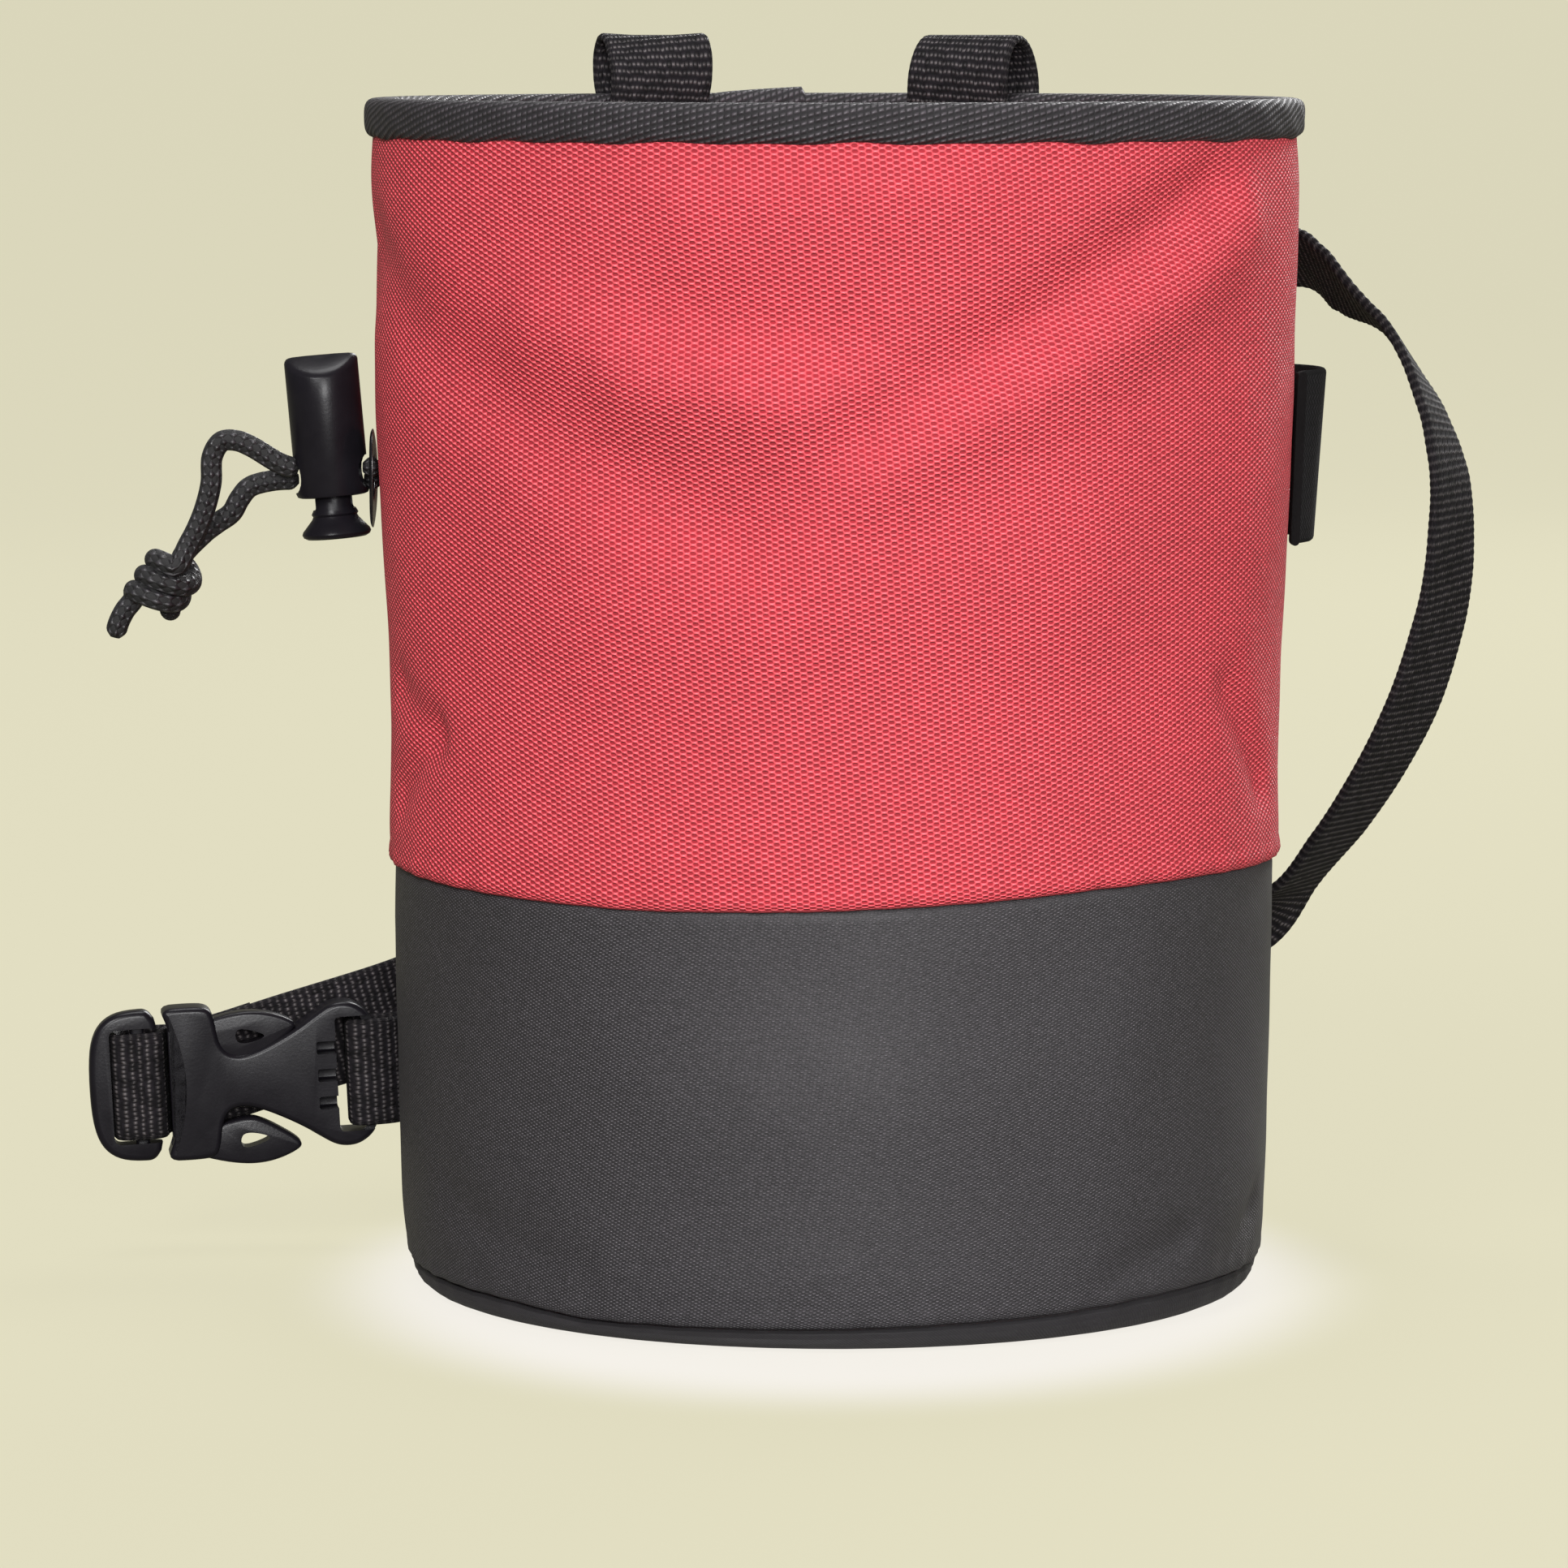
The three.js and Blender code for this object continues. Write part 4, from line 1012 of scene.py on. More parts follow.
@dataclass
class Body:
    """The bag's walls, base and bound rim."""

    binding_wide: float = 4.6
    binding_tall: float = 5.3
    grip: float = 2.1
    corner: float = 0.55
    floor_r: float = 53.0

    @property
    def rim_radius(self) -> float:
        """Radius of the rim's middle line."""
        return 0.992 * BODY_R - WALL / 2

    @property
    def rim_top(self) -> float:
        """Height of the rim's top."""
        return BODY_H - self.grip + self.binding_tall

    def build(self) -> None:
        """Builds every piece of the body."""
        Wall("upper_body", RED, UPPER_OUTLINE, UPPER_FOLDS, COLOUR_SEAM, lambda turn: BODY_H + 0 * turn,
             ((2.4, -2.0), (0.8, -1.9), (0.05, -1.3), (-0.2, -0.5), (0.1, 0.1), (0.7, 0.3), (1.6, 0.2)),
             ((0.0, 0.0), (0.0, -WALL)), 96).build()
        Wall("lower_body", CHARCOAL, LOWER_OUTLINE, LOWER_FOLDS, BASE_SEAM, COLOUR_SEAM,
             ((1.4, -2.0), (0.4, -1.6), (0.1, -0.8), (0.35, -0.15), (0.9, 0.1), (1.7, 0.1)),
             ((-1.1, 0.0), (-0.4, -0.2), (0.2, -0.6), (0.6, -1.1), (0.6, -WALL)), 56).build()
        self.base()
        self.binding()

    def base(self) -> None:
        """The round base that the wall is sewn to."""
        rows = [(0, 2.0), (0.93 * self.floor_r, 2.0), (self.floor_r, 2.2), (56.0, 3.2), (57.2, 3.3), (57.5, 2.9)]
        bend = np.radians([72, 54, 36, 18, 0])
        rows += [(self.floor_r + 4.55 * math.sin(a), 3.1 * (1 - math.cos(a))) for a in bend]
        rows += [(0.8 * self.floor_r, 0.0), (0.4 * self.floor_r, 0.0), (0, 0.0)]
        radius, height = np.array(rows).T
        ticks = np.linspace(0, 1, len(rows))

        def place(u: np.ndarray, v: np.ndarray) -> np.ndarray:
            """Points of the base."""
            turn = 360 * u - 180
            r, z = np.interp(v, ticks, radius), np.interp(v, ticks, height)
            edge = (r / 57).clip(0, 1) ** 12
            tall = z * (1 + edge * (BASE_SEAM(turn) / 3.4 - 1))
            return on_round(turn, r + edge * pucker(turn, 3.4 - z), tall)

        panel = sheet("base_panel", (360, 4 * (len(rows) - 1)), place, (2 * math.pi * 57, 120))
        Bench.smooth(panel, 60)
        dress(panel, CHARCOAL, "base_panel")

    def binding(self) -> None:
        """The bias tape round the rim, with its lapped end between the loops."""
        round_way = np.linspace(-np.pi / 2, 1.5 * np.pi, 400)
        swell = [np.sign(w) * np.abs(w) ** self.corner for w in (np.cos(round_way), np.sin(round_way))]
        steps = np.hypot(np.diff(swell[0]) * self.binding_wide, np.diff(swell[1]) * self.binding_tall)
        run = np.concatenate([[0.0], np.cumsum(steps)])

        def place(u: np.ndarray, v: np.ndarray) -> np.ndarray:
            """Points of the tape."""
            turn = 360 * u - 180
            across, up = (np.interp(v * run[-1], run, part) for part in swell)
            lap = ((turn + 176) / 12).clip(0, 1)
            thick = np.where(turn > -176, 0.9 * (1 - lap) ** 0.7, 0.0) * (up > -0.6)
            angle = np.radians(turn)
            half, tall = self.binding_wide / 2 + 0.4 * thick, self.binding_tall / 2
            edge = (up < 0) * (0.12 * np.sin(31 * angle) + 0.1 * np.sin(17 * angle + 1)) * np.abs(up)
            r = self.rim_radius + half * across + 0.06 * np.sin(41 * angle + 3 * up)
            return on_round(turn, r, self.rim_top - tall + tall * up + thick * up.clip(0, 1) + edge)

        tape = sheet("rim_binding", (720, 40), place, (2 * math.pi * 61, 17))
        Bench.smooth(tape, 60)
        dress(tape, TAPE, "rim_binding")


@dataclass
class Webbing:
    """The loops and the belt, all woven strap."""

    loop_wide: float = 15.0
    loop_thick: float = 1.2
    belt_wide: float = 15.0
    belt_thick: float = 1.3
    rise: float = 8.0
    clear: float = 6.8
    tail: float = 5.0
    keeper_z: float = 0.8956 * BODY_H
    keeper_clear: float = 19.0
    keeper_tab: float = 3.4
    body: Body = field(default_factory=Body)

    def build(self) -> None:
        """Builds every strap."""
        self.carry("carry_loop_left", -154.8, -20, 0.18)
        self.carry("carry_loop_right", 161, -7, 0.3)
        self.keeper()
        self.brush()

    def carry(self, name: str, turn: float, twist: float, skew: float) -> None:
        """One of the two loops that stand on the rim.

        Args:
            name: Name of the piece.
            turn: Its place round the rim.
            twist: How far its crown turns, in degrees.
            skew: How far its two feet are apart along the rim, as a share of its width.
        """
        radius, top = self.body.rim_radius, self.body.rim_top
        bottom = top - self.body.binding_tall
        sag = self.loop_wide**2 / (8 * radius)
        foot = WALL / 2 + GAP + self.loop_thick / 2
        shoulder = self.body.binding_wide / 2 + GAP + self.loop_thick / 2
        belly = (self.clear + self.loop_thick) / 2
        half = [(foot + GAP, bottom - self.tail), (foot + 2 * GAP, bottom - 0.5 * self.tail),
                (shoulder + GAP, bottom), (shoulder + GAP, bottom + 0.6 * self.body.binding_tall),
                (belly + 0.5 * GAP, top + 0.3 * self.rise),
                (0.75 * belly, top + 0.72 * self.rise), (0.25 * belly, top + self.rise - self.loop_thick / 2)]
        route = [(-out - sag, z) for out, z in half] + half[::-1]
        across = on_round(turn, 1, 0)
        along = np.array([-across[1], across[0], 0])
        rows, edges = [], []
        for i, (out, z) in enumerate(route):
            aside = skew * self.loop_wide * (0.5 - i / (len(route) - 1))
            rows.append((radius + out) * across + aside * along + [0, 0, z])
            swing = math.radians(twist * max(0.0, z - top) / self.rise)
            edges.append([along[0] * math.cos(swing) - along[1] * math.sin(swing),
                          along[0] * math.sin(swing) + along[1] * math.cos(swing), 0])
        line = Route(np.array(rows), np.array(edges))
        strap = Strap(name, Slot.WEBBING, line, self.loop_wide, self.loop_thick, 240, rib=0.1)
        dress(strap.build(), WEBBING, name)

    def keeper(self) -> None:
        """The belt loop at the back, sewn down above and below the belt."""
        flat = GAP + self.loop_thick / 2
        raised = 5 * GAP + self.belt_thick + self.loop_thick / 2
        half, tab = self.keeper_clear / 2, self.keeper_tab
        route = [(flat, -half - tab), (flat, -half - 0.3 * tab), (raised, raised - half), (raised, half - raised),
                 (flat, half + 0.3 * tab), (flat, half + tab)]
        rows = [on_round(180, UPPER_OUTLINE(self.keeper_z + up) + out, self.keeper_z + up) for out, up in route]
        line = Route(np.array(rows), np.array([[1.0, 0, 0]] * len(rows)))
        strap = Strap("belt_keeper", Slot.WEBBING, line, self.loop_wide, self.loop_thick, 140, rib=0.1)
        dress(strap.build(), WEBBING, "belt_keeper")

    def brush(self) -> None:
        """The elastic loop for a brush on the right side."""
        z, wide, thick, out, middle, spread = 112.5, 23.6, 1.2, 6.2, 104, 15
        foot = GAP + thick / 2
        wall = UPPER_OUTLINE(z + wide / 2)
        lean = (wall - UPPER_OUTLINE(z - wide / 2)) / wide
        rows, edges = [], []
        for side, lift in ((-1, 0), (-0.8, 0), (-0.5, 0.62), (0, 1), (0.5, 0.62), (0.8, 0), (1, 0)):
            turn = middle + side * spread
            radius = wall + foot + lift * (out - foot - thick / 2) - lean * wide / 2 + GAP
            rows.append(on_round(turn, radius, z))
            edges.append(on_round(turn, lean + 0.04 * lift, 1))
        line = Route(np.array(rows), np.array(edges))
        strap = Strap("brush_loop", Slot.ELASTIC, line, wide, thick, 120)
        dress(strap.build(), ELASTIC, "brush_loop")


def placed(turn: float, radius: float, z: float, *turns: tuple[float, str]) -> Matrix:
    """A frame on the round of the bag, turned about its own axes in order.

    Args:
        turn: Its turn round the bag.
        radius: Its distance from the axis.
        z: Its height.
        turns: Degrees and axis of each turn.

    Returns:
        The frame.
    """
    matrix = Matrix.Translation(on_round(turn, radius, z).tolist())
    for angle, axis in turns:
        matrix = matrix @ Matrix.Rotation(math.radians(angle), 4, axis)
    return matrix


@dataclass
class Belt:
    """The waist belt and its side-release buckle, fastened."""

    long: float = 40.0
    wide: float = 21.6
    thick: float = 6.0
    frame_thick: float = 3.6
    prong_thick: float = 2.8
    fit: float = 0.35
    bar: float = 1.9
    belt_wide: float = 15.0
    belt_thick: float = 1.3
    prong_grow: float = 1.06
    prong_drop: float = 1.1
    frame: Matrix = field(init=False)

    def __post_init__(self) -> None:
        """Sets the buckle's frame."""
        out = float(LOWER_OUTLINE(24)) + 28.3
        self.frame = placed(-106.2, out, 24, (8, "Z"), (-2.8, "Y"), (90, "X"))

    @property
    def end(self) -> float:
        """Half of the buckle's length."""
        return self.long / 2

    @property
    def half(self) -> float:
        """Half of the buckle's width."""
        return self.wide / 2

    def build(self) -> None:
        """Builds the belt and both halves of the buckle."""
        self.webbing()
        self.male()
        self.female()

    def outline(self, rows: Sequence[tuple[float, float]], cuts: int = 2) -> list[tuple[float, float]]:
        """A mirrored outline in millimetres from the shares of its upper half."""
        upper = [(x * self.end, y * self.half) for x, y in rows]
        return rounded(upper + [(x, -y) for x, y in reversed(upper)], cuts)

    def male(self) -> None:
        """The half with the prongs and the adjusting bar."""
        end, half = self.end, self.half
        slot_half, bar_x = self.belt_wide / 2 + 2 * GAP, -0.66 * end
        frame_plate = self.outline([(-0.49, 0.98), (-0.74, 0.985), (-0.88, 0.9), (-0.97, 0.7), (-1.01, 0.35)])
        piece = plate("buckle_male", frame_plate, -self.frame_thick / 2, self.frame_thick / 2)
        Bench.modify(piece, "BEVEL", width=0.9, segments=5, limit_method="ANGLE", angle_limit=math.radians(50))
        Bench.carve(piece, block("slots", (bar_x - 4.0, -slot_half, -9), (bar_x + 4.2, slot_half, 9), 1.0))
        bar = block("bar", (bar_x - self.bar / 2, -slot_half - 1, -0.8),
                    (bar_x + self.bar / 2, slot_half + 1, 0.8), 0.4)
        Bench.weld(piece, bar)
        low, high = -self.prong_thick / 2, self.prong_thick / 2
        Bench.weld(piece, block("neck", (bar_x + 4.2, -0.74 * half, low), (-0.3 * end, 0.74 * half, high), 0.2))
        Bench.weld(piece, block("guide", (-0.32 * end, -0.2 * half, low), (0.2 * end, 0.2 * half, high), 0.3))
        wing = [(-0.42, 0.72), (-0.14, 0.88), (0.04, 0.94), (0.17, 0.94), (0.287, 0.9), (0.4, 0.82), (0.45, 0.75),
                (0.42, 0.66), (0.287, 0.505), (0.19, 0.41), (0.096, 0.35), (-0.07, 0.4), (-0.14, 0.46), (-0.42, 0.46)]
        eye = [(0.02, 0.69), (0.05, 0.74), (0.15, 0.7), (0.23, 0.64), (0.2, 0.593), (0.1, 0.55), (0.04, 0.56),
               (0.02, 0.62)]
        for up in (1, -1):
            prong = self.shaped("prong", wing, low + 0.6, high + 1.2)
            Bench.modify(prong, "BEVEL", width=0.6, segments=4, limit_method="ANGLE", angle_limit=math.radians(50))
            Bench.carve(prong, self.shaped("eye", eye, -9, 9))
            for vertex in prong.data.vertices:
                vertex.co.y = up * vertex.co.y - self.prong_drop
            if up < 0:
                Bench.whole_edit(prong, lambda: bpy.ops.mesh.flip_normals())
            Bench.weld(piece, prong)
        Bench.smooth(piece, 35)
        Bench.moved(piece, self.frame)
        dress(piece, PLASTIC, "buckle_male")

    def shaped(self, name: str, rows: Sequence[tuple[float, float]], low: float, high: float) -> bpy.types.Object:
        """A plate from shares of the buckle's half sizes, on its upper side."""
        points = rounded([(x * self.end, self.prong_grow * y * self.half) for x, y in rows], 2)
        return plate(name, points, low, high)

    def female(self) -> None:
        """The half with the collar, the waist, the ladder and the fixed bar."""
        end, half = self.end, self.half
        slot_half = self.belt_wide / 2 + 2 * GAP
        bar_x = end - self.bar / 2
        shape = self.outline([(-0.38, 0.12), (-0.405, 0.45), (-0.45, 0.75), (-0.5, 0.99), (-0.3, 1.0), (-0.16, 0.98),
                              (-0.12, 0.84), (-0.1, 0.55), (-0.06, 0.4), (0.014, 0.34), (0.1, 0.35), (0.23, 0.43),
                              (0.45, 0.64), (0.585, 0.81), (0.68, 0.92), (0.77, 0.95), (0.86, 0.92), (0.95, 0.8),
                              (1, 0.62)])
        piece = plate("buckle_female", shape, -self.thick / 2, self.thick / 2)
        Bench.modify(piece, "BEVEL", width=1.3, segments=6, limit_method="ANGLE", angle_limit=math.radians(50))
        hollow = self.prong_thick / 2 + self.fit
        Bench.carve(piece, block("mouth", (-end, -0.8 * half, -hollow), (-0.02 * end, 0.8 * half, hollow)))
        Bench.carve(piece, block("guide_way", (-0.1 * end, -0.26 * half, -hollow), (0.22 * end, 0.26 * half, hollow)))
        slot_end = bar_x - self.bar / 2
        Bench.carve(piece, block("slot", (0.715 * end, -slot_half, -9), (slot_end, slot_half, 9), 0.6))
        for row in (-3.9, 0.0, 3.9):
            Bench.carve(piece, block("ladder", (0.58 * end, row - 0.9, -0.6), (0.74 * end, row + 0.9, 9), 0.3))
        for side in (1, -1):
            low, high = sorted((side * 1.5, side * 7.5))
            Bench.carve(piece, block("over_bar", (end - 2 * self.bar, -slot_half, low), (end + 2, slot_half, high)))
        Bench.smooth(piece, 35)
        Bench.moved(piece, self.frame)
        dress(piece, PLASTIC, "buckle_female")

    def around(self, bar_x: float, places: Sequence[tuple[float, float, float]]) -> tuple[list, list]:
        """Rows and edges of the belt round one of the buckle's bars.

        Args:
            bar_x: The bar's place along the buckle.
            places: Places about the bar.

        Returns:
            The rows and edges.
        """
        edge = list(self.frame.to_3x3() @ Vector((0, 1, 0)))
        rows = [list(self.frame @ Vector((bar_x + x, y, z))) for x, y, z in places]
        return rows, [edge] * len(rows)

    def wall_row(self, turn: float, clear: float, up: float) -> list[float]:
        """A point of the belt's route outside the wall.

        Args:
            turn: Its turn round the bag.
            clear: Its clearance, as a share of the bag's radius.
            up: Its height, as a share of the bag's height.

        Returns:
            The point.
        """
        z = up * BODY_H
        wall = UPPER_OUTLINE(z) if z > 58 else LOWER_OUTLINE(z)
        return on_round(turn, float(wall) + GAP + self.belt_thick / 2 + clear * BODY_R, z).tolist()

    def along_wall(self, turns: tuple[float, float], ups: tuple[float, float]) -> tuple[list, list]:
        """Rows and edges of a stretch of belt that lies on the wall.

        Args:
            turns: First and last turn.
            ups: First and last height, as shares.

        Returns:
            The rows and edges.
        """
        count = math.ceil(abs(turns[1] - turns[0]) / 12)
        shares = np.linspace(0, 1, count + 1)
        rows = [self.wall_row(turns[0] + s * (turns[1] - turns[0]), 0.004, ups[0] + s * (ups[1] - ups[0]))
                for s in shares]
        return rows, [[0, 0, 1]] * len(rows)

    def free(self, places: Sequence[tuple[float, float, float, tuple[float, float, float]]]) -> tuple[list, list]:
        """Rows and edges of a free stretch: turn, clearance, height and edge."""
        return [self.wall_row(turn, clear, up) for turn, clear, up, _ in places], [list(p[3]) for p in places]

    def webbing(self) -> None:
        """The whole belt as one ribbon, from its sewn end to its adjusting end."""
        beside = self.bar / 2 + GAP + self.belt_thick / 2 + 0.7
        over = 1.5 + GAP + self.belt_thick / 2
        on_bar = 0.8 + GAP + self.belt_thick / 2
        behind = self.thick / 2 + 2 * GAP + self.belt_thick / 2
        under = behind + self.belt_thick + GAP
        stretches = [
            self.around(self.end - self.bar / 2, [
                (12.6, 0, -over - 5), (8, 0, -over - 2.2), (4.2, 0, -over - 0.6), (1, 0, -over - 0.1),
                (-0.88 * beside, 0, -0.84 * over), (-beside, 0, 0), (-0.88 * beside, 0, 0.84 * over),
                (1, 0, over + 0.1), (4, 0, 0.6 * over)]),
            self.free([(-118.5, 0.072, 0.162, (0, 0, 1)), (-131, 0.022, 0.17, (0, 0, 1))]),
            self.along_wall((-142, -214), (0.178, 0.25)),
            self.free(RIGHT_ARC),
            self.along_wall((140, 190), (0.8956, 0.8956)),
            self.free(LEFT_DROP),
            self.around(-0.66 * self.end, [
                (20, 3, -behind - 0.6), (12, 1, -behind), (6.5, 0, -behind), (4.2, 0, -0.8 * behind), (3.3, 0, -0.9),
                (2.9, 0, 0.7 * on_bar), (2.0, 0, 1.1 * on_bar), (0, 0, 1.15 * on_bar), (-2.0, 0, 1.1 * on_bar),
                (-3.0, 0, 0.7 * on_bar), (-3.3, 0, -0.9), (-2.6, 0, -0.7 * under), (1.2, 0, -under - 0.2),
                (6, 0, -under - 0.3), (12, 1, -under - 0.3), (18, 2.4, -under - 0.9)]),
        ]
        rows = np.array([row for part, _ in stretches for row in part])
        edges = np.array([edge for _, part in stretches for edge in part], dtype=float)
        strap = Strap("belt_webbing", Slot.WEBBING, Route(rows, edges), self.belt_wide, self.belt_thick, 1900,
                      rib=0.1)
        dress(strap.build(), WEBBING, "belt_webbing")


RIGHT_ARC = (
    (133, 0.033, 0.264, (-0.08, -0.15, 1)), (123, 0.105, 0.285, (-0.2, -0.6, 0.78)),
    (115.8, 0.174, 0.319, (-0.24, -0.94, 0.24)), (111, 0.228, 0.369, (-0.32, -0.91, 0.27)),
    (107.2, 0.291, 0.427, (-0.4, -0.88, 0.25)), (104.3, 0.346, 0.488, (-0.47, -0.86, 0.2)),
    (102.2, 0.38, 0.5535, (-0.49, -0.86, 0.12)), (101.2, 0.39, 0.5984, (-0.48, -0.88, 0.05)),
    (100.7, 0.388, 0.642, (-0.45, -0.9, 0.01)), (100.7, 0.381, 0.682, (-0.39, -0.92, -0.02)),
    (101, 0.366, 0.711, (-0.32, -0.95, -0.06)), (101.9, 0.339, 0.747, (-0.2, -0.98, -0.09)),
    (103.7, 0.295, 0.789, (-0.07, -1, -0.03)), (105.8, 0.254, 0.82, (0, -1, 0)),
    (108.5, 0.2, 0.844, (0.1, -0.99, 0.1)),
    (111.5, 0.169, 0.861, (0.15, -0.97, 0.21)), (116.2, 0.14, 0.877, (0.07, -0.95, 0.35)),
    (126, 0.055, 0.89, (0.05, -0.5, 0.86)),
)
LEFT_DROP = (
    (-162, 0.032, 0.892, (-0.05, 0.1, 1)), (-156, 0.062, 0.878, (-0.3, 0.35, 0.85)),
    (-147, 0.11, 0.832, (-0.4, 0.75, 0.4)), (-141.5, 0.182, 0.752, (-0.1, 0.95, 0.1)),
    (-139.5, 0.228, 0.65, (0, 1, 0)),
    (-138.5, 0.243, 0.545, (0, 1, 0)), (-138, 0.235, 0.44, (0, 1, 0.05)), (-137, 0.212, 0.35, (-0.15, 0.95, 0.15)),
    (-134.5, 0.187, 0.278, (-0.3, 0.8, 0.4)), (-130.5, 0.17, 0.23, (-0.3, 0.55, 0.78)),
    (-125, 0.16, 0.211, (-0.15, 0.2, 1)), (-119.3, 0.18, 0.201, (-0.08, 0.05, 1)),
)


@dataclass
class Lock:
    """The eyelet and the push lock on the drawcord."""

    radius: float = 5.0
    tall: float = 18.6
    slant: float = 2.4
    stem_r: float = 2.9
    bore_r: float = 3.25
    bore_deep: float = 13.5
    disc_r: float = 4.7
    disc_tall: float = 2.6
    travel: float = 2.8
    hole: tuple[float, float, float] = (6.1, 4.5, 3.0)
    window: tuple[float, float, float] = (3.2, 8.0, 2.2)
    eyelet_z: float = 109.8
    eyelet_tall: float = 13.4
    eyelet_long: float = 11.6
    eyelet_hole: float = 6.0
    proud: float = 0.5

    @property
    def frame(self) -> Matrix:
        """The lock's own frame, its axis up."""
        face = float(UPPER_OUTLINE(self.eyelet_z + self.eyelet_tall / 2)) + GAP + self.proud
        middle = Matrix.Translation((-face - 1.15 - self.radius, 2.6, 116.5))
        return middle @ Matrix.Rotation(math.radians(-5), 4, "Y")

    def build(self) -> None:
        """Builds the eyelet, the barrel and the plunger."""
        self.eyelet()
        self.barrel()
        self.plunger()

    def eyelet(self) -> None:
        """The flange that the cord comes out of, bent to the wall."""
        inner, outer = self.eyelet_hole / 2, self.eyelet_tall / 2
        rows = rounded([(inner, 0), (outer, 0), (outer, 0.5 * self.proud), (outer - 0.8, self.proud),
                        (inner + 0.6, self.proud), (inner, 0.5 * self.proud)], 2)
        rows.append(rows[0])
        radius, height = np.array(rows).T
        ticks = np.linspace(0, 1, len(rows))
        wall = float(UPPER_OUTLINE(self.eyelet_z + outer)) + 0.5 * GAP

        def place(u: np.ndarray, v: np.ndarray) -> np.ndarray:
            """Points of the flange."""
            r, out = np.interp(v, ticks, radius), np.interp(v, ticks, height)
            y = r * np.cos(2 * np.pi * u) * self.eyelet_long / self.eyelet_tall
            x = out + wall + GAP - (wall - np.sqrt(wall**2 - y**2))
            return np.stack([-x, y, self.eyelet_z + r * np.sin(2 * np.pi * u)], axis=-1)

        piece = sheet("cord_eyelet", (96, len(rows) - 1), place, (36, 12))
        Bench.smooth(piece, 60)
        dress(piece, GLOSS, "cord_eyelet")

    def barrel(self) -> None:
        """The barrel, bored from below, with its roof-like top."""
        bottom, r = -self.tall / 2, self.radius
        rows = [(0, bottom + self.bore_deep), (self.bore_r, bottom + self.bore_deep), (self.bore_r, bottom + 0.4),
                (self.bore_r + 0.3, bottom), (r - 0.6, bottom), (r - 0.2, bottom + 0.15), (r, bottom + 0.6),
                (r, 4.0), (r, 9.1), (r - 0.1, 9.4), (r - 0.3, 9.65), (r - 0.6, 9.8), (r - 1.2, 9.9), (2.0, 9.95),
                (0, 9.95)]
        piece = turned("lock_barrel", rows, 96)
        for vertex in piece.data.vertices:
            share = min(1.0, max(0.0, (vertex.co.z - 4) / 5.5))
            vertex.co.z -= share * self.slant * (math.hypot(vertex.co.y, 0.8) - 0.8) / (r - 0.7)
        wide, tall, up = self.hole
        low = bottom + up - tall / 2
        Bench.carve(piece, block("hole", (-9, -wide / 2, low), (9, wide / 2, low + tall), 1.9))
        Bench.smooth(piece, 35)
        Bench.moved(piece, self.frame)
        dress(piece, PLASTIC, "lock_barrel")

    def plunger(self) -> None:
        """The spring plunger with its push disc."""
        bottom = -self.tall / 2
        top = bottom - self.travel - GAP
        stem_top = bottom + self.bore_deep - self.travel - GAP
        r, d, tall = self.stem_r, self.disc_r, self.disc_tall
        rows = [(0, top - tall), (0.7 * d, top - tall + 0.1), (0.86 * d, top - tall), (0.96 * d, top - 0.9 * tall),
                (d, top - 0.75 * tall), (0.97 * d, top - 0.6 * tall), (0.8 * d, top - 0.25 * tall), (r + 0.3, top),
                (r + 0.1, top + 0.4), (r + 0.3, top + 0.7), (r, top + 1.3), (r, stem_top - 0.3),
                (r - 0.3, stem_top), (0, stem_top)]
        piece = turned("lock_plunger", rows, 96)
        wide, tall_hole, up = self.window
        low = bottom + up - tall_hole / 2
        Bench.carve(piece, block("window", (-9, -wide / 2, low), (9, wide / 2, low + tall_hole), 0.5))
        Bench.smooth(piece, 35)
        Bench.moved(piece, self.frame)
        dress(piece, PLASTIC, "lock_plunger", body=PLUNGER)


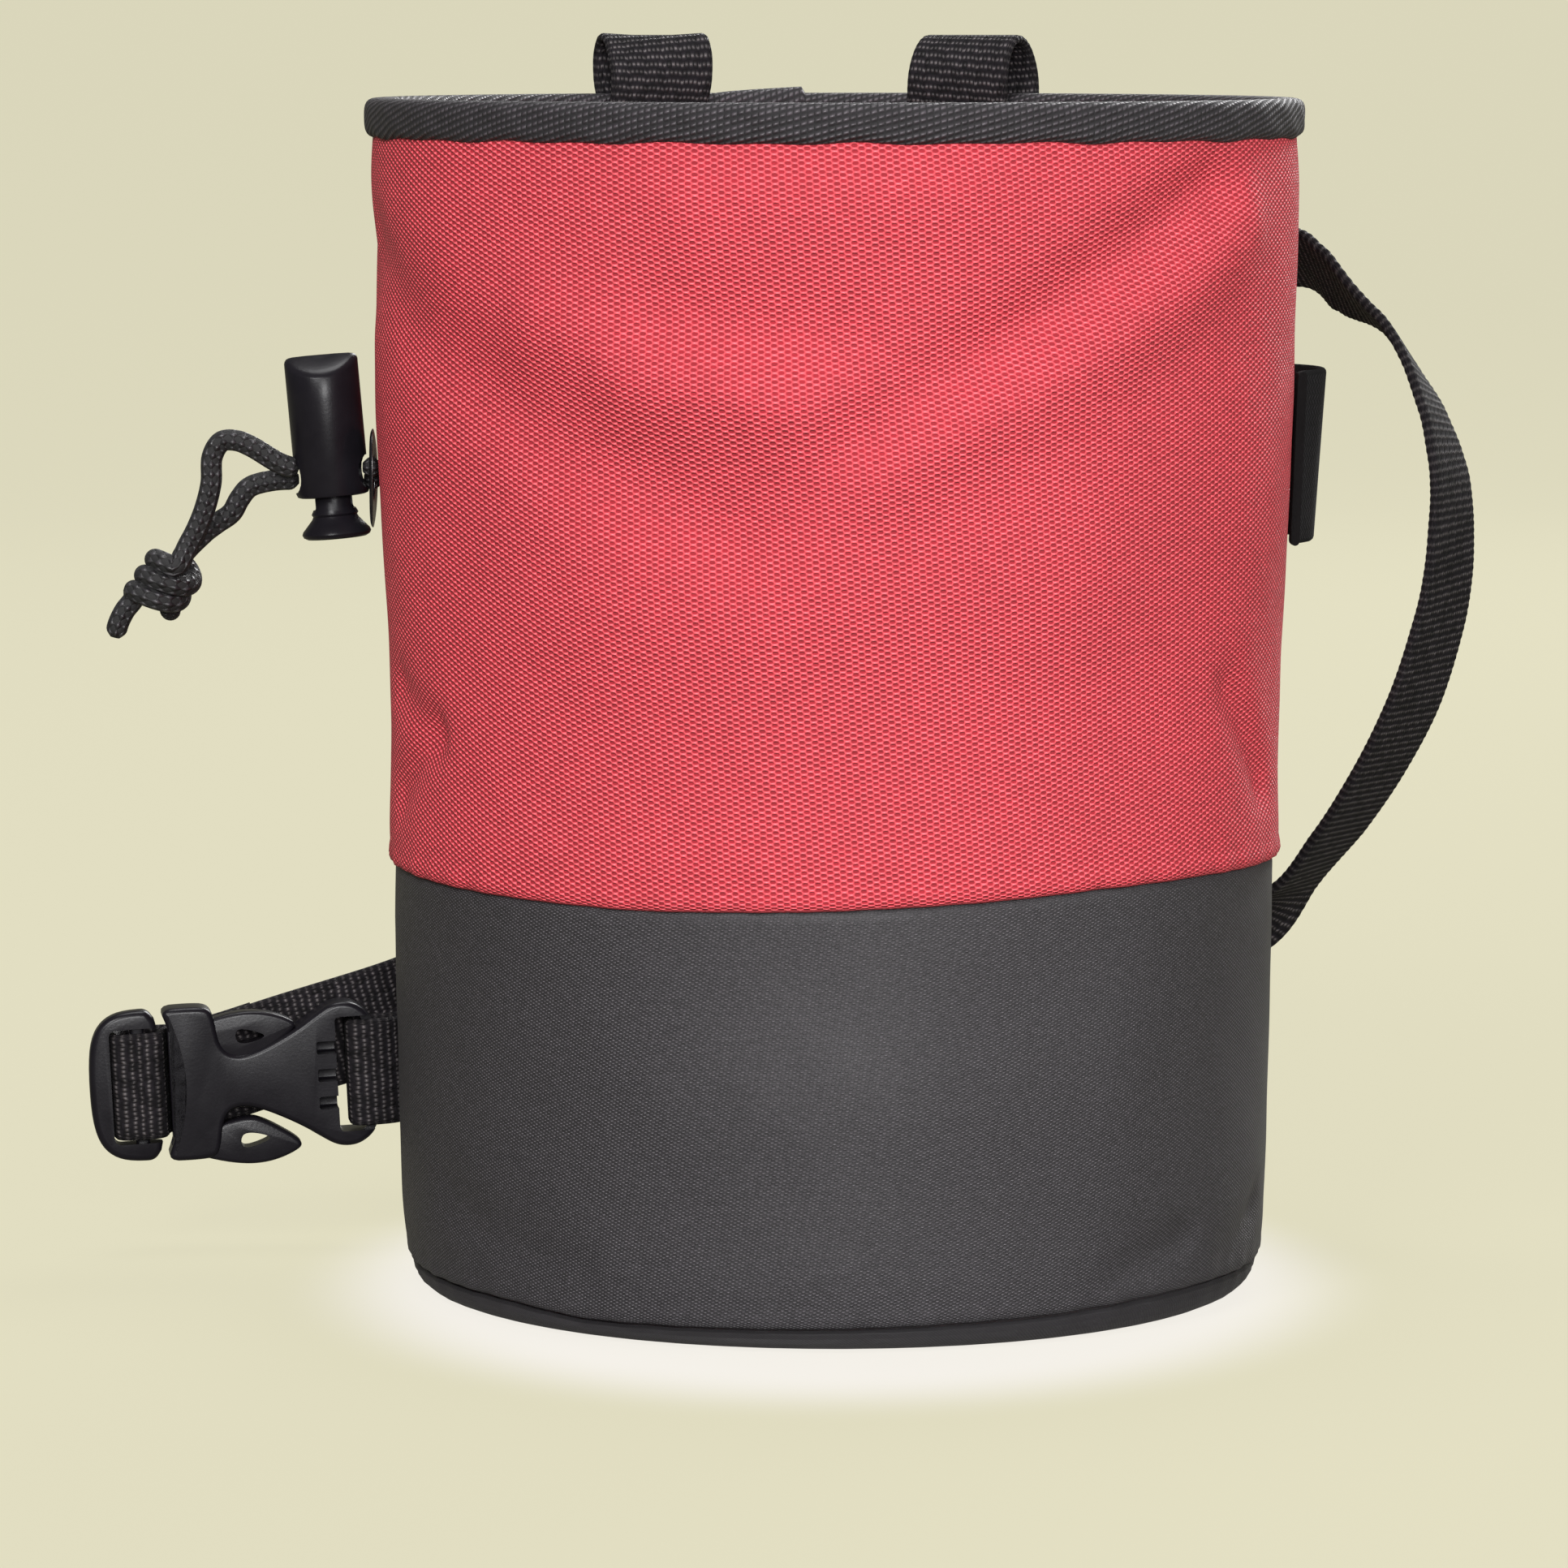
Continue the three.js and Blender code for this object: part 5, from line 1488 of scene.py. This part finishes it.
@dataclass
class Drawcord:
    """The two strands of the drawcord that meet in a knot."""

    thick: float = 2.9
    knot: tuple[float, float, float] = (-91.2, 2.3, 95.2)
    knot_r: float = 2.9
    pitch: float = 5.3
    turns: float = 1.3

    def build(self) -> None:
        """Builds both strands."""
        upper = [(-72.7, 1.05, 110.9), (-75.2, 1.05, 111.7), (-79.1, 1.1, 114), (-81.1, 1.1, 114.8),
                 (-83.1, 1.1, 114.7),
                 (-84.4, 1.1, 112.7), (-84.6, 1, 109.1), (-85.4, 0.9, 105.8), (-86.5, 0.8, 103), (-87.6, 0.6, 100.9)]
        lower = [(-72.9, 4.1, 109.4), (-76.4, 4.1, 109.2), (-79.6, 4.1, 108.3), (-81, 4.1, 106.7),
                 (-82.1, 4.1, 104.8),
                 (-84.2, 4.1, 103.3), (-86, 4.2, 101.9)]
        tail = [(-95.4, 2.6, 93.2), (-96.6, 2.4, 91.6), (-97.5, 2.3, 89.8), (-98, 2.3, 87.9)]
        self.strand("drawcord_upper", upper + self.wound(0.0) + tail, "knot", "drawcord_upper", "drawcord_knot")
        self.strand("drawcord_lower", lower + self.wound(0.5), "knot", "drawcord_lower")
        self.feed()

    def feed(self) -> None:
        """The short stretch of both strands between the eyelet and the lock."""
        for name, y, z in (("drawcord_feed_front", 1.1, 111.2), ("drawcord_feed_back", 4.0, 109.4)):
            points = np.array([(x, y, z) for x in (-61.6, -62.4, -63.2, -64.0)])
            route = Route(points, np.array([[0.0, 1.0, 0]] * len(points)))
            dress(self.tube(name, route), CORD)

    def wound(self, start: float) -> list[tuple[float, float, float]]:
        """Points of a strand's turns in the knot.

        Args:
            start: Where it starts round the knot, in turns.

        Returns:
            The points in order.
        """
        axis = Vector((-0.56, 0.1, -0.82)).normalized()
        second = axis.cross(Vector((0, -1, 0))).normalized()
        first = second.cross(axis)
        points = []
        for step in range(int(12 * self.turns) + 1):
            angle = 2 * math.pi * (start + step / 12)
            along = self.pitch * (step / 12 - self.turns / 2)
            round_axis = math.cos(angle) * first + math.sin(angle) * second
            points.append(tuple(Vector(self.knot) + axis * along + self.knot_r * round_axis))
        return points

    def tube(self, name: str, route: Route) -> bpy.types.Object:
        """A round braided tube along a route, with its ends drawn in.

        Args:
            name: Name of the piece.
            route: Its line.

        Returns:
            The tube.
        """
        radius = self.thick / 2

        def place(u: np.ndarray, v: np.ndarray) -> np.ndarray:
            """Points of the cord's skin."""
            line = route.at(v, route.points)
            side, face = route.at(v, route.sides), route.at(v, route.faces)
            to_end = np.minimum(v, 1 - v) * route.length
            r = radius * np.sqrt(1 - (1 - to_end / (0.9 * radius)).clip(0, 0.9) ** 2)
            return line + side * (r * np.cos(2 * np.pi * u))[:, None] + face * (r * np.sin(2 * np.pi * u))[:, None]

        tube = sheet(name, (24, round(route.length * 3)), place, (math.pi * self.thick, route.length), fill=True)
        Bench.smooth(tube, 60)
        return tube

    def strand(self, name: str, points: list[tuple[float, float, float]], far_end: str, *nodes: str) -> None:
        """One strand along its points.

        Args:
            name: Name of the piece.
            points: Its points in order.
            far_end: What its far end does; not used.
            nodes: The CAD nodes that it stands for.
        """
        route = Route(np.array(points), np.array([[0.0, 1.0, 0.1]] * len(points)), spare=12)
        tube = dress(self.tube(name, route), CORD, *nodes)


class Studio:
    """The floor, the lights and the camera."""

    @staticmethod
    def camera() -> None:
        """The camera of the picture."""
        data = bpy.data.cameras.new("camera")
        data.lens = 167.87
        data.sensor_width = 36
        data.clip_end = 50
        camera = bpy.data.objects.new("camera", data)
        bpy.context.scene.collection.objects.link(camera)
        camera.location = (0, -0.990, 0.172)
        camera.rotation_euler = (math.radians(84.01), 0, math.radians(0.394))
        bpy.context.scene.camera = camera

    @staticmethod
    def floor() -> None:
        """A pale floor that rises far behind, with a painted pool of light round the bag's base."""
        Bench.clear()
        bpy.ops.mesh.primitive_grid_add(x_subdivisions=8, y_subdivisions=60, size=6)
        floor = Bench.named("floor")
        for vertex in floor.data.vertices:
            back = max(0.0, vertex.co.y - 1.6)
            vertex.co.z = 0.6 * back**2 - 0.0002
        material = bpy.data.materials.new("paper")
        material.use_nodes = True
        s = Shading(material.node_tree)
        shader = material.node_tree.nodes["Principled BSDF"]
        place = s.add("TexCoord").outputs["Object"]
        # A painted pool of light: the floor turns near-white in an oval round the bag's base, in both its colour and
        # its glow.
        round_bag = s.add("VectorMath", {0: place, 1: (1.35, 1.0, 1.0)}, operation="MULTIPLY").outputs[0]
        far = s.add("VectorMath", {0: round_bag}, operation="LENGTH").outputs["Value"]
        reach = {0: far, 1: 0.068, 2: 0.106, 3: 1.0, 4: 0.0}
        painted_light_pool = s.add("MapRange", reach, interpolation_type="SMOOTHERSTEP").outputs[0]
        paper = s.tint(s.noise(place, 3.0), (0.69, 0.662, 0.489), (0.692, 0.664, 0.491))
        colour = s.tint(painted_light_pool, paper, (0.86, 0.83, 0.77))
        s.feed(shader.inputs["Base Color"], s.tint(0.94, colour, (0.0, 0.0, 0.0)))
        s.feed(shader.inputs["Emission Color"], colour)
        seen = s.add("LightPath").outputs["Is Camera Ray"]
        s.feed(shader.inputs["Emission Strength"], s.blend(seen, 0.3, 0.985))
        shader.inputs["Roughness"].default_value = 0.95
        shader.inputs["Specular IOR Level"].default_value = 0.0
        floor.data.materials.append(material)
        Bench.smooth(floor, 60)

    @staticmethod
    def light(name: str, place: tuple[float, float, float], size: float, power: float) -> None:
        """A square soft light that looks at the bag.

        Args:
            name: Its name.
            place: Its place in metres.
            size: Its side.
            power: Its power in watts.
        """
        data = bpy.data.lights.new(name, "AREA")
        data.size = size
        data.energy = power
        lamp = bpy.data.objects.new(name, data)
        lamp.location = place
        lamp.rotation_euler = (Vector((0, 0, 0.09)) - Vector(place)).to_track_quat("-Z", "Y").to_euler()
        bpy.context.scene.collection.objects.link(lamp)

    @staticmethod
    def lights() -> None:
        """The soft studio light."""
        world = bpy.data.worlds.new("studio")
        world.use_nodes = True
        world.node_tree.nodes["Background"].inputs[0].default_value = (1, 0.99, 0.96, 1)
        world.node_tree.nodes["Background"].inputs[1].default_value = 0.16
        bpy.context.scene.world = world
        bpy.context.scene.view_settings.view_transform = "Standard"
        Studio.light("key", (-0.5, -1.3, 0.9), 0.5, 26)
        Studio.light("front", (0.1, -1.5, 0.35), 0.4, 26)
        Studio.light("fill", (1.2, -0.5, 0.5), 0.7, 11)
        Studio.light("back", (0.5, 1.3, 0.9), 0.8, 26)
        Studio.light("top", (-0.1, 0.2, 1.4), 0.6, 12)


def main() -> None:
    """Builds the whole scene."""
    logging.basicConfig(level=logging.INFO, format="%(name)s: %(message)s")
    Studio.camera()
    Drawcord().build()
    Body().build()
    Webbing().build()
    Lock().build()
    Belt().build()
    Studio.floor()
    Studio.lights()


if __name__ == "__main__":
    main()
